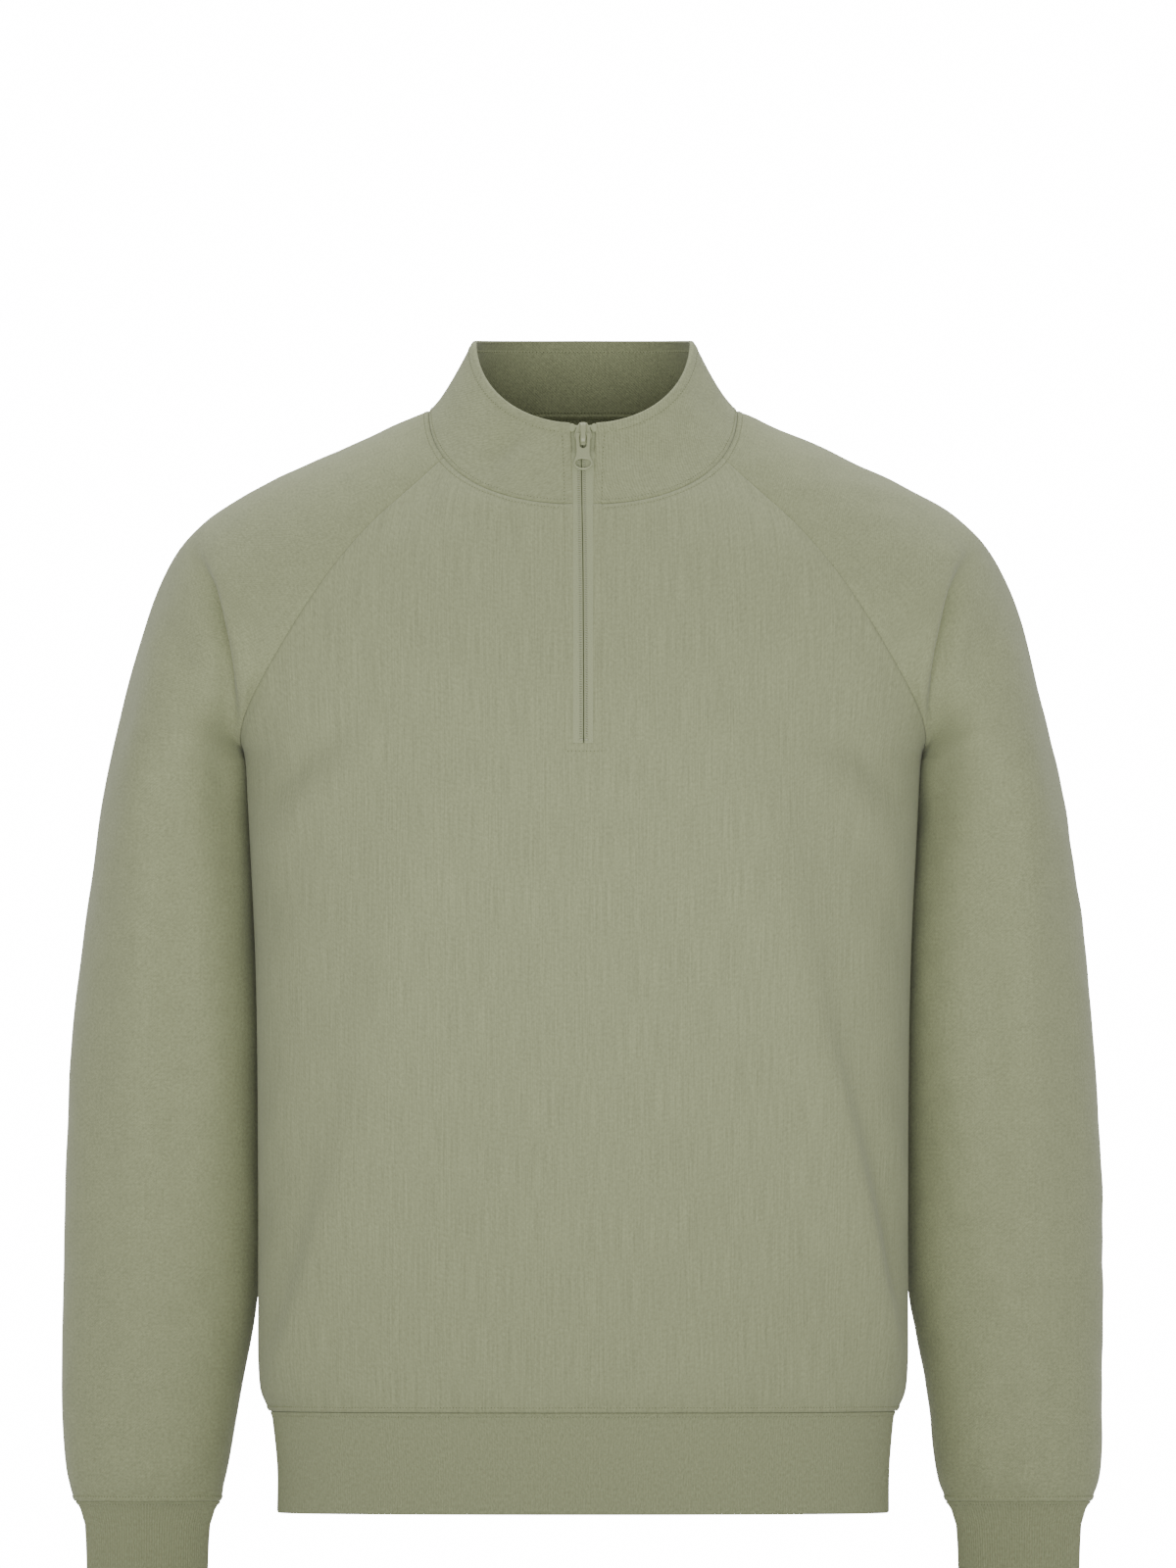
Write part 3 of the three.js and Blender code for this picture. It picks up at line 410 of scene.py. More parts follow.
def seam_end(side, row):
    """The raglan seam's point at a row, or the side seam's below the underarm."""
    cut = section(side, row)
    seam = FRONT_SEAM if side == "front" else BACK_SEAM
    upper = row < UNDERARM_AT
    x = np.where(upper, np.minimum(seam.x(row), cut[0]), cut[0])
    y = np.where(upper, section_y(cut, x), cut[2])
    z = np.where(upper, seam.z(row), cut[4])
    return xyz(x, y, z)


def panel_point(side, row, x):
    """The front or back panel's point on a row, at a distance from the middle."""
    cut = section(side, row)
    y = section_y(cut, x)
    end = seam_end(side, row)
    middle_y = cut[2] + cut[3]
    share = (y - middle_y) / (end[..., 1] - middle_y)
    flat = cut[4] + (end[..., 2] - cut[4]) * share
    blend = ease(1 - row / 1.5)
    z = np.where(row < UNDERARM_AT, flat + (neck_height(y) - flat) * blend, cut[4])
    return xyz(x, y, z)


def arm_point(row, turn):
    """The sleeve's point on a row. Turn runs from -1 at the front seam to 1 at the back."""
    back = turn > 0
    closed = row >= UNDERARM_AT
    sign = np.where(back, 1, -1)
    degrees = np.where(back, BACK_SEAM.turn(row), FRONT_SEAM.turn(row))
    full = np.where(closed, np.pi, np.radians(degrees))
    tube = np.where(back, UNDERARM.back(row), UNDERARM.front(row))
    bulge = np.where(closed, tube, np.where(back, BACK_SEAM.bulge(row), FRONT_SEAM.bulge(row)))
    outer = xyz(SHOULDER.x(row), SHOULDER.y(row), SHOULDER.z(row))
    under = xyz(UNDERARM.x(row), UNDERARM.y(row), UNDERARM.z(row))
    seam = np.where(back[..., None], seam_end("back", row), seam_end("front", row))
    inner = np.where(closed[..., None], under, seam)
    angle = full * np.abs(turn)
    share = (1 - np.cos(angle)) / (1 - np.cos(full))
    short = inner[..., 1] - outer[..., 1] - sign * bulge * np.sin(full)
    point = outer + (inner - outer) * share[..., None]
    point[..., 1] = outer[..., 1] + sign * bulge * np.sin(angle) + short * share
    return point


def sleeve_point(row, turn):
    """The same with its top edge brought onto the neck seam."""
    row, turn = np.broadcast_arrays(np.asarray(row, float), np.asarray(turn, float))
    fade = ease(1 - row / 2)
    back = np.pi - ring_angle(NECK, BACK_SEAM.x(0))
    end = np.where(turn > 0, back, ring_angle(NECK, FRONT_SEAM.x(0)))
    angle = np.pi / 2 + (end - np.pi / 2) * np.abs(turn)
    neck = ring_point(NECK, neck_height, angle)
    return arm_point(row, turn) + (neck - arm_point(0 * row, turn)) * fade[..., None]


def collar_point(end, around, up):
    """The collar from the neck seam at 0 to the rim at 1, its ends a distance from the middle."""
    neck_end = ring_angle(NECK, end)
    rim_end = ring_angle(RIM, end)
    neck = ring_point(NECK, neck_height, neck_end + (2 * np.pi - 2 * neck_end) * around)
    rim = ring_point(RIM, rim_height, rim_end + (2 * np.pi - 2 * rim_end) * around)
    up = np.asarray(up, float)[..., None]
    point = neck + (rim - neck) * up
    flat = point * [1, 1, 0]
    inward = -flat / np.maximum(np.linalg.norm(flat, axis=-1, keepdims=True), 1e-9)
    side = ease(np.abs(point[..., :1]) / 60 - 0.15)
    return point + inward * COLLAR_HOLLOW * up * (1 - up) ** 2 * side


# ------------------------------------------------------------------ grids
def unit(v):
    return v / np.maximum(np.linalg.norm(v, axis=-1, keepdims=True), 1e-12)


def grid_normals(points, wrap=False):
    """Outward directions of a grid of points."""
    if wrap:
        ring = np.concatenate([points[:, -2:-1], points, points[:, 1:2]], 1)
        across = (ring[:, 2:] - ring[:, :-2])
    else:
        across = np.gradient(points, axis=1)
    down = np.gradient(points, axis=0)
    return unit(np.cross(down, across))


def lengths(points, axis):
    """Distances along the grid's lines, from its first row or column."""
    steps = np.linalg.norm(np.diff(points, axis=axis), axis=-1)
    zero = np.zeros_like(np.take(steps, [0], axis))
    return np.concatenate([zero, np.cumsum(steps, axis)], axis)


def spaced(total, near, far, middle):
    """Places from 0 to total: close together at both ends, and evenly between them."""
    near = np.asarray(near, float)
    far = total - np.asarray(far, float)[::-1]
    inside = np.linspace(near[-1], far[0], middle + 2)[1:-1]
    return np.concatenate([near, inside, far])


def roll(distance, depth, reach=1.5):
    """How far cloth dips where it rolls into a seam at that distance."""
    return depth * np.exp(-(distance / reach) ** 1.4)


def wrinkles(points, seed, height, size):
    """Soft unevenness, the same each time."""
    rng = np.random.default_rng(seed)
    total = np.zeros(points.shape[:-1])
    for _ in range(9):
        way = unit(rng.normal(size=3))
        wave = 2 * np.pi / (size * rng.uniform(0.6, 1.8))
        total += np.sin(points @ way * wave + rng.uniform(0, 6.3))
    return total * height / 4


def rounded_off(distance, radius):
    """How much lower than the cloth's face its rounded edge is, at a distance from the edge."""
    left = radius - np.minimum(distance, radius)
    return np.minimum(radius - np.sqrt(np.maximum(radius ** 2 - left ** 2, 0)), radius - 0.04)


def make_mesh(name, points, faces, uv=None):
    """A Blender object from points in millimetres and four-cornered faces."""
    used, faces = np.unique(faces, return_inverse=True)
    faces = faces.reshape(-1, 4)
    mesh = bpy.data.meshes.new(name)
    mesh.vertices.add(len(used))
    mesh.vertices.foreach_set("co", (points[used] * MM).astype(np.float32).ravel())
    mesh.loops.add(faces.size)
    mesh.loops.foreach_set("vertex_index", faces.astype(np.int32).ravel())
    mesh.polygons.add(len(faces))
    mesh.polygons.foreach_set("loop_start", np.arange(0, faces.size, 4, dtype=np.int32))
    mesh.update(calc_edges=True)
    mesh.validate()
    mesh.polygons.foreach_set("use_smooth", np.full(len(mesh.polygons), True))
    if uv is not None:
        layer = mesh.uv_layers.new(name="cloth")
        index = np.zeros(len(mesh.loops), np.int32)
        mesh.loops.foreach_get("vertex_index", index)
        layer.data.foreach_set("uv", (uv[used][index] * MM).astype(np.float32).ravel())
    made = bpy.data.objects.new(name, mesh)
    bpy.context.scene.collection.objects.link(made)
    return made


# ------------------------------------------------------------------ where seams and stitches lie
# Distances of the points beside each kind of edge, close together where its shape needs them.
PLAIN_EDGE = np.array([0, 0.12, 0.35, 0.7, 1.2, 1.9, 2.8, 4.0, 5.6])
SEWN_EDGE = np.array([0, 0.12, 0.4, 0.9, 1.6, 2.2, 2.7, 3.2, 3.7, 4.2, 4.7, 5.4, 6.6])
FOLD_EDGE = np.array([0, 0.1, 0.3, 0.65, 1.1, 1.8, 2.8, 3.9, 4.8, 5.4, 5.8, 6.2, 6.8, 8.0])
NECK_BELOW = 4.3     # from the neck seam to its stitches in the body
NECK_ABOVE = 2.7     # and in the collar
HEM_ABOVE = 3.4
HEM_BELOW = 2.5
HEM_TUCK = -0.25      # the hem's and cuffs' seams lie nearly level with the cloth
ZIP_STITCH = 6.0     # from the folded edge
RIM_STITCH = 7.6


def beside_seam(distance, stitch, ridge=0.45, tuck=TUCK):
    """Cloth dips into its seam, lies over the seam's allowance, and dips at its stitches."""
    lift = ridge * (1 - ease((distance - stitch + 0.3) / 1.5))
    dent = 0.4 * np.exp(-((distance - stitch) / 0.6) ** 2)
    return lift - dent - roll(distance, tuck + ridge)


def beside_plain_seam(distance, ridge):
    """A raglan or side seam, with the cloth on one side of it a little higher."""
    return ridge * np.exp(-(distance / 4.5) ** 2) - roll(distance, TUCK + ridge, 1.1)


def beside_fold(distance, stitch, puff=0.35):
    """A folded edge is puffed up as far as its stitches."""
    lift = puff * ease(distance / 2.2 + 0.2) * (1 - ease((distance - stitch + 0.4) / 1.8))
    return lift - 0.45 * np.exp(-((distance - stitch) / 0.6) ** 2)


# ------------------------------------------------------------------ skins
class Skin:
    """A piece of cloth as a grid of points, from its top row down."""

    def __init__(self, points, normals=None, wrap=False):
        self.points = points
        self.normals = grid_normals(points, wrap=wrap) if normals is None else normals
        self.down = lengths(points, 0)
        self.up = self.down[-1] - self.down
        self.across = lengths(points, 1)
        self.back_across = self.across[:, -1:] - self.across
        self.ends = np.minimum(self.across, self.back_across)

    def lift(self, height):
        """Moves the points outward."""
        self.points = self.points + self.normals * height[..., None]

    def overlap(self, rows=(), columns=(), upto=None):
        """Runs the named edge rows and columns a little past their seam lines."""
        for row in rows:
            beside = 1 if row == 0 else row - 1
            self.points[row] += unit(self.points[row] - self.points[beside]) * LAP
        for column in columns:
            beside = 1 if column == 0 else column - 1
            edge = self.points[:upto, column]
            edge += unit(edge - self.points[:upto, beside]) * LAP

    def lean(self, column, others, reach=4.0):
        """Turns the walls near a seam towards the direction shared with the piece beyond it."""
        distance = self.back_across if column == -1 else self.across
        shared = unit(self.normals[:, column] + others)
        share = np.exp(-(distance / reach) ** 2)[..., None]
        self.normals = unit(self.normals * (1 - share) + shared[:, None] * share)

    def folds(self, front, back=None, side=1):
        """The folds' heights. They fade where the cloth turns away from the front and back."""
        x = self.points[..., 0] * side
        z = self.points[..., 2]
        height = fold_height(front, x, z)
        if back is not None:
            height = np.where(self.normals[..., 1] < 0, height, fold_height(back, x, z))
        return height * ease(np.abs(self.normals[..., 1]) * 1.6)

    def line(self, distance, value, columns=slice(None)):
        """The line at a set distance from the top or bottom edge."""
        grids = [grid[:, columns] for grid in (distance, self.points, self.normals)]
        return line_at(value, *grids)

    def upright_line(self, distance, value, rows, columns):
        """The line at a set distance from an upright edge."""
        grids = [grid[rows][:, columns] for grid in (distance, self.points, self.normals)]
        return line_at(value, *(grid.swapaxes(0, 1) for grid in grids))


def line_at(value, distance, points, normals):
    """The point of each column at a set distance, with its outward direction."""
    if distance[0, 0] > distance[-1, 0]:
        distance, points, normals = distance[::-1], points[::-1], normals[::-1]
    found = [
        np.stack([
            [np.interp(value, distance[:, j], grid[:, j, axis]) for axis in range(3)]
            for j in range(distance.shape[1])])
        for grid in (points, normals)]
    return found[0], unit(found[1])


def even_places(curve, low, high, near, far, spacing=None, middle=None):
    """Places along a curve at set distances from its two ends, and evenly between them."""
    fine = np.linspace(low, high, 900)
    run = lengths(curve(fine)[:, None], 0)[:, 0]
    if middle is None:
        middle = int((run[-1] - near[-1] - far[-1]) / spacing)
    return np.interp(spaced(run[-1], near, far, middle), run, fine)


def panel_rows(side, spacing):
    """Stations down a panel, with more beside its seams and the foot of the zip."""
    def curve(row):
        return panel_point(side, row, 60.0)
    if side == "back":
        return even_places(curve, 0, HEM_AT, SEWN_EDGE, SEWN_EDGE, spacing)
    # fewer rows lie close together above the zip's foot than below it
    above = even_places(curve, 0, ZIP_END, SEWN_EDGE, FOLD_EDGE[:9], spacing)
    below = even_places(curve, ZIP_END, HEM_AT, FOLD_EDGE, SEWN_EDGE, spacing)
    return np.concatenate([above, below[1:]])


def panel_half(side, stations, inner, near, spacing):
    """The wearer's left half of a panel, from its middle out to its seams."""
    middle = int(section(side, WAIST_AT)[0] * QUARTER_ROUND / spacing) - 6
    rows = []
    for row in stations:
        half, power = section(side, row)[:2]
        end = min(1.0, float(seam_end(side, row)[0]) / float(half))

        def curve(t):
            return panel_point(side, row, half * np.sin(t) ** (2 / power))
        low = np.arcsin((inner / half) ** (power / 2))
        high = np.arcsin(end ** (power / 2))
        places = even_places(curve, low, high, near, PLAIN_EDGE, middle=middle)
        rows.append(curve(places))
    points = np.stack(rows)
    # beside the neck the edge is brought onto the sleeve's own edge
    upper = stations < 2
    turn = -1 if side == "front" else 1
    ends = points[upper, -1]
    off = sleeve_point(stations[upper], turn + 0 * stations[upper]) - ends
    gap = np.linalg.norm(points[upper] - ends[:, None], axis=-1)
    points[upper] += off[:, None] * np.exp(-(gap / 25) ** 2)[..., None]
    return points


def sleeve_rows(spacing):
    """Stations down a sleeve. Above the underarm they follow the outermost line."""
    def curve(row):
        return sleeve_point(row, -0.35 + 0 * row)
    near = np.array([0, 1.0])
    above = even_places(curve, 0, UNDERARM_AT - 0.03, SEWN_EDGE, near, spacing)
    below = even_places(curve, UNDERARM_AT + 0.06, CUFF_AT, near, SEWN_EDGE, spacing)
    return np.concatenate([above, below]), len(above)


BESIDE_CREASE = np.array([-5.4, -3.9, -2.8, -2.0, -1.4, -0.9, -0.4, 0, 0.5, 1.1, 1.9, 3.0, 4.4])
BEFORE_CREASE = 14   # columns between the front seam and the crease
CREASE_LEAST = 13.5  # how near to the front seam the crease's columns come
CREASE_SPAN = (5.2, 9)         # stations between which the crease's place is looked for
CREASE_SMOOTHED = (3.8, 10.4)  # and between which it is smoothed
CREASE_PLACES = 133
SMOOTHING = 11       # places in each average
ARM_ROUND = 430      # how far round the arm it is, at the most
JOIN_ROWS = 13       # rows above and below the underarm whose directions are smoothed
JOIN_PASSES = 30


def crease_distance(row):
    """How far round a row the crease lies from the front seam."""
    turns = np.linspace(-1, 0, 900)
    points = sleeve_point(row + 0 * turns, turns)
    line = smooth_line(CREASE)
    off = points[:, 0] - np.interp(-points[:, 2], -line[:, 1], line[:, 0])
    run = lengths(points[:, None], 0)[:, 0]
    past = np.nonzero(off > 0)[0]
    return run[past[0]] if len(past) else run[-1]


def sleeve_normals(rows, turns):
    """The sleeve's outward directions, from its surface on two sides of each point."""
    above = (rows > UNDERARM_AT - 0.1) & (rows < UNDERARM_AT)
    step = np.where(above | (rows > CUFF_AT - 0.1), -0.03, 0.03)
    ahead = np.where(turns < 0.99, 0.004, -0.004)
    here = sleeve_point(rows, turns)
    down = (sleeve_point(rows + step, turns) - here) * np.sign(step)[..., None]
    across = (sleeve_point(rows, turns + ahead) - here) * np.sign(ahead)[..., None]
    return unit(np.cross(down, across))


def sleeve_skin(stations, closed, spacing):
    """The wearer's left sleeve, from its front seam round the arm to its back seam."""
    middle = int(ARM_ROUND / spacing) - 2 * len(PLAIN_EDGE) - BEFORE_CREASE
    places = np.linspace(*CREASE_SMOOTHED, CREASE_PLACES)
    crossing = np.array([crease_distance(row) for row in np.clip(places, *CREASE_SPAN)])
    kernel = np.hanning(SMOOTHING)
    crossing = np.pad(crossing, SMOOTHING // 2, "edge")
    crossing = np.convolve(crossing, kernel / kernel.sum(), "valid")
    crossing = np.interp(stations, places, crossing)
    crossing = CREASE_LEAST - soft_min(CREASE_LEAST - crossing, 0, 6)
    turns = []
    for i, row in enumerate(stations):
        before = np.linspace(PLAIN_EDGE[-1], crossing[i] + BESIDE_CREASE[0], BEFORE_CREASE + 2)[1:-1]
        nearer = np.concatenate([PLAIN_EDGE, before, crossing[i] + BESIDE_CREASE])

        def curve(turn):
            return sleeve_point(row + 0 * turn, turn)
        turns.append(even_places(curve, -1, 1, nearer, PLAIN_EDGE, middle=middle))
    turns = np.stack(turns)
    rows = stations[:, None] + 0 * turns
    normals = sleeve_normals(rows, turns)
    # the directions run smoothly past the underarm
    near = slice(closed - JOIN_ROWS, closed + JOIN_ROWS)
    for _ in range(JOIN_PASSES):
        part = normals[near]
        part[1:-1] = unit(part[:-2] + 2 * part[1:-1] + part[2:])
    return Skin(sleeve_point(rows, turns), normals)


VARY_HEIGHT = (0.78, 1.15)
VARY_X = 1.2
VARY_Z = 4


def vary(folds, seed):
    """The same folds, with each a little deeper or shallower and to one side."""
    rng = np.random.default_rng(seed)
    changed = []
    for line in folds:
        height = rng.uniform(*VARY_HEIGHT)
        dx = rng.uniform(-VARY_X, VARY_X)
        dz = rng.uniform(-VARY_Z, VARY_Z)
        changed.append([(x + dx, z + dz, h * height, a, b) for x, z, h, a, b in line])
    return changed


def mirror(skin):
    """The same skin on the other side."""
    return Skin(skin.points[:, ::-1] * [-1, 1, 1], skin.normals[:, ::-1] * [-1, 1, 1])


ZIP_COLUMNS = 5      # between the folded edges, below the zip
FRONT_SPACING = 4.2  # between the rows and between the columns, away from the seams
BACK_SPACING = 4.8
SLEEVE_SPACING = 3.6
front_stations = panel_rows("front", FRONT_SPACING)
back_stations = panel_rows("back", BACK_SPACING)
sleeve_stations, first_closed = sleeve_rows(SLEEVE_SPACING)

half = panel_half("front", front_stations, ZIP_HALF, FOLD_EDGE, FRONT_SPACING)
centre = np.stack([
    panel_point("front", front_stations, x + 0 * front_stations)
    for x in np.linspace(-ZIP_HALF, ZIP_HALF, ZIP_COLUMNS + 2)[1:-1]
], 1)
front_skin = Skin(np.concatenate([half[:, ::-1] * [-1, 1, 1], centre, half], 1))
half = panel_half("back", back_stations, 0.0, np.array([0.0, 3.0]), BACK_SPACING)
back_skin = Skin(np.concatenate([half[:, ::-1], half[:, 1:] * [-1, 1, 1]], 1))
left_sleeve = sleeve_skin(sleeve_stations, first_closed, SLEEVE_SPACING)

# each panel as it is before it is shaped, its stations, and its column on the wearer's left
PANELS = {
    "front": (Skin(front_skin.points), front_stations, -1),
    "back": (Skin(back_skin.points), back_stations, 0),
}


def seam_normals(skin, stations, column, wanted):
    """A piece's directions along one edge, at the stations of the piece beyond it."""
    edge = skin.normals[:, column]
    return unit(np.stack([np.interp(wanted, stations, part) for part in edge.T], -1))


def seam_heights(skin, ridge):
    """Heights beside the seams all round a panel or a sleeve."""
    height = beside_plain_seam(skin.ends, ridge)
    height += beside_seam(skin.down, NECK_BELOW)
    return height + beside_seam(skin.up, HEM_ABOVE, 0.8, HEM_TUCK)


def from_raglan(skin):
    """How far each point of a sleeve is from its raglan seams, which end at the underarm."""
    return np.hypot(skin.ends, np.maximum(skin.down - skin.down[first_closed - 1], 0))


FOLD_GAIN = 1.25     # the panels' folds are this much deeper than their tables say


def shape_panel(side, folds, seed):
    """A panel's folds and seams as heights, and its walls' directions."""
    skin, stations, column = PANELS[side]
    arm = seam_normals(left_sleeve, sleeve_stations, -1 - column, stations)
    beyond = seam_normals(*PANELS["back" if side == "front" else "front"], stations)
    beyond = np.where(stations[:, None] < UNDERARM_AT, arm, beyond)
    walls = Skin(skin.points)
    walls.lean(column, beyond)
    walls.lean(-1 - column, beyond * [-1, 1, 1])
    height = FOLD_GAIN * skin.folds(folds)
    height += wrinkles(skin.points, seed, 0.9, 95) + wrinkles(skin.points, seed + 1, 0.35, 38)
    height *= ease((skin.ends - 1) / 14) * ease((skin.down - 5) / 22) * ease((skin.up - 3) / 12)
    # short, soft dents above the gathered hem seam
    x = skin.points[..., 0]
    ripple = np.sin(x / 6.1 + 1.1 * np.sin(x / 17 + seed))
    height += 0.3 * ripple * np.exp(-((skin.up - 12) / 9) ** 2)
    return height, seam_heights(skin, 0.3), walls.normals


# the zip's opening: how far each point of the front is from its folded edge
left_edge = (front_skin.points.shape[1] - ZIP_COLUMNS) // 2 - 1
right_edge = left_edge + ZIP_COLUMNS + 1
slit_row = int(np.argmin(np.abs(front_stations - ZIP_END)))
across = front_skin.across
beside = np.maximum(across[:, [left_edge]] - across, across - across[:, [right_edge]])
beside = np.maximum(beside, 0)
below = np.maximum(front_skin.down - front_skin.down[slit_row], 0)
slit_gap = np.maximum(beside, below)

height, seams, walls = shape_panel("front", FRONT_FOLDS, 11)
front_skin.lift(height * ease(slit_gap / 9 + 0.1))
front_skin.normals = walls
front_skin.lift(seams + beside_fold(slit_gap, ZIP_STITCH))
front_skin.overlap(rows=(0, -1), columns=(0, -1))
height, seams, walls = shape_panel("back", BACK_FOLDS, 23)
back_skin.lift(height)
back_skin.normals = walls
back_skin.lift(seams)
back_skin.overlap(rows=(0, -1), columns=(0, -1))


NEARER = 2.0         # how much nearer to the body the sleeve comes, and at what height
NEARER_Z = -235
NEARER_TALL = 16
NEARER_X = 246       # the cloth on the body's side of this comes nearer
SOFT_X = 236         # the place where the folds are softened, and its size
SOFT_Z = -219
SOFT_WIDE = 15
SOFT_TALL = 13
SOFT_PASSES = 40


def shape_sleeve(skin, seed, front_folds, back_folds, side):
    """Gives a sleeve its folds and seams. Side is 1 for the wearer's left."""
    closed = np.arange(len(sleeve_stations)) >= first_closed
    own = skin.normals
    for panel in PANELS.values():
        edge = -1 - panel[2] if side == 1 else panel[2]
        beyond = seam_normals(*panel, sleeve_stations) * [side, 1, 1]
        joined = np.where(closed[:, None], skin.normals[:, -1 - edge], beyond)
        skin.lean(edge, joined)
    wall = skin.normals
    skin.normals = own
    fade = ease((from_raglan(skin) - 0.6) / 6.5)
    fade *= ease((skin.down - 5) / 22) * ease((skin.up - 3) / 9)
    height = skin.folds(front_folds, back_folds, side)
    height += wrinkles(skin.points, seed, 0.8, 85) + wrinkles(skin.points, seed + 1, 0.35, 34)
    skin.lift(height * fade)
    # the folds run softly into one another beside the end of the raglan seam
    x = side * skin.points[..., 0]
    z = skin.points[..., 2]
    soft = np.exp(-((x - SOFT_X) / SOFT_WIDE) ** 2 - ((z - SOFT_Z) / SOFT_TALL) ** 2)
    share = (fade * soft / 2)[1:-1, 1:-1, None]
    part = skin.points
    for _ in range(SOFT_PASSES):
        around = part[:-2, 1:-1] + part[2:, 1:-1] + part[1:-1, :-2] + part[1:-1, 2:]
        part[1:-1, 1:-1] += share * (around / 4 - part[1:-1, 1:-1])
    # below the underarm the sleeve comes a little nearer to the body
    nearer = ease((skin.down - skin.down[first_closed - 1]) / 10) * ease((NEARER_X - x) / 20)
    nearer *= NEARER * np.exp(-((z - NEARER_Z) / NEARER_TALL) ** 2)
    skin.points[..., 0] -= side * nearer
    skin.normals = wall
    skin.lift(seam_heights(skin, -0.15))
    skin.overlap(rows=(0, -1), columns=(0, -1), upto=first_closed)


right_sleeve = mirror(left_sleeve)
shape_sleeve(left_sleeve, 31, SLEEVE_FRONT_FOLDS, SLEEVE_BACK_FOLDS, 1)
shape_sleeve(right_sleeve, 41, vary(SLEEVE_FRONT_FOLDS, 5), vary(SLEEVE_BACK_FOLDS, 6), -1)


# ------------------------------------------------------------------ collar, hem and cuffs
def zip_half(up):
    """Half the opening at a height of the collar: it widens beside the slider."""
    return ZIP_HALF + ZIP_SPREAD * np.asarray(up, float) ** 2


def collar_skin():
    rim = np.array([0, 0.15, 0.5, 1.0, 1.7, 2.8, 4.2, 5.6, 6.5, 7.0, 7.3, 7.6, 7.9, 8.3, 9.0, 10.4])

    def upright(up):
        return collar_point(20.0, 0.05 + 0 * up, up)
    ups = even_places(upright, 1, 0.0, rim, SEWN_EDGE, 2.6)
    rows = []
    for up in ups:
        def curve(around):
            return collar_point(zip_half(up), around, up + 0 * around)
        rows.append(curve(even_places(curve, 0, 1, FOLD_EDGE, FOLD_EDGE, middle=170)))
    return Skin(np.stack(rows))


collar = collar_skin()
height = collar.folds(COLLAR_FOLDS) + wrinkles(collar.points, 51, 0.35, 40)
height = height * ease((collar.down - 1) / 12) * ease((collar.up - 2) / 10) * ease(collar.ends / 14)
height += beside_fold(collar.ends, ZIP_STITCH) + beside_fold(collar.down, RIM_STITCH, 0.6)
height += beside_seam(collar.up, NECK_ABOVE, 0.6)
collar.lift(height)
collar.overlap(rows=(-1,))


def hem_point(drop, angle):
    s = np.sin(angle)
    c = np.cos(angle)
    power = 2 / np.where(c > 0, FRONT_POWER, BACK_POWER)
    middle = HEM.side(drop)
    deep = np.where(c > 0, HEM.front(drop), HEM.back(drop)) - middle
    x = HEM.half(drop) * np.sign(s) * np.abs(s) ** power
    y = middle + deep * np.abs(c) ** power
    return xyz(x, y, -drop)


def cuff_point(drop, angle):
    x = CUFF.middle(drop) + CUFF.half(drop) * np.sin(angle)
    y = CUFF_Y - CUFF.depth(drop) * np.cos(angle)
    return xyz(x, y, -drop)


RIB_FORM = np.array([0.0, 0.78, 1.0, 0.78])      # one rib's heights, from one valley to the next
RIB_WALL = 3.0


def ribbed_skin(at, top, bottom, middle, flare, rise):
    """A ribbed tube, seamed at its top and folded at its bottom."""
    near = np.array([0, 0.3, 0.9, 1.7, 2.3, 2.8, 3.6, 5.0])
    far = np.array([0, 0.2, 0.8, 1.6, 3.0])
    drops = spaced(bottom - top, near, far, middle) + top
    # angles whose points are evenly spaced round the tube's middle
    fine = np.linspace(0, 2 * np.pi, 6000)
    around = lengths(at((top + bottom) / 2, fine)[:, None], 0)[:, 0]
    count = len(RIB_FORM) * int(around[-1] / RIB_PITCH)
    angles = np.interp(np.linspace(0, around[-1], count + 1), around, fine)
    skin = Skin(np.stack([at(drop, angles) for drop in drops]), wrap=True)
    raised = np.resize(RIB_FORM, angles.size)
    hold = 1 - 0.45 * np.exp(-(skin.down - HEM_BELOW) ** 2)
    ribs_up = (raised - 0.6) * rise * hold
    soft = wrinkles(skin.points, 61, 0.3, 50) * ease(skin.up / 10)
    edge = beside_seam(skin.down, HEM_BELOW, 0.4, HEM_TUCK)
    skin.lift(ribs_up + edge + soft + flare * ease(1 - skin.up / 30))
    skin.overlap(rows=(0,))
    return skin


hem = ribbed_skin(hem_point, 652.8, 719, 5, 0.3, HEM_RIB_RISE)
left_cuff = ribbed_skin(cuff_point, 712.1, 781, 5, 0.2, CUFF_RIB_RISE)
right_cuff = mirror(left_cuff)

# ------------------------------------------------------------------ cloth pieces
# the front's squares, without those of the zip's opening
kept = np.ones((front_skin.points.shape[0] - 1, front_skin.points.shape[1] - 1), bool)
kept[:slit_row, left_edge:right_edge] = False


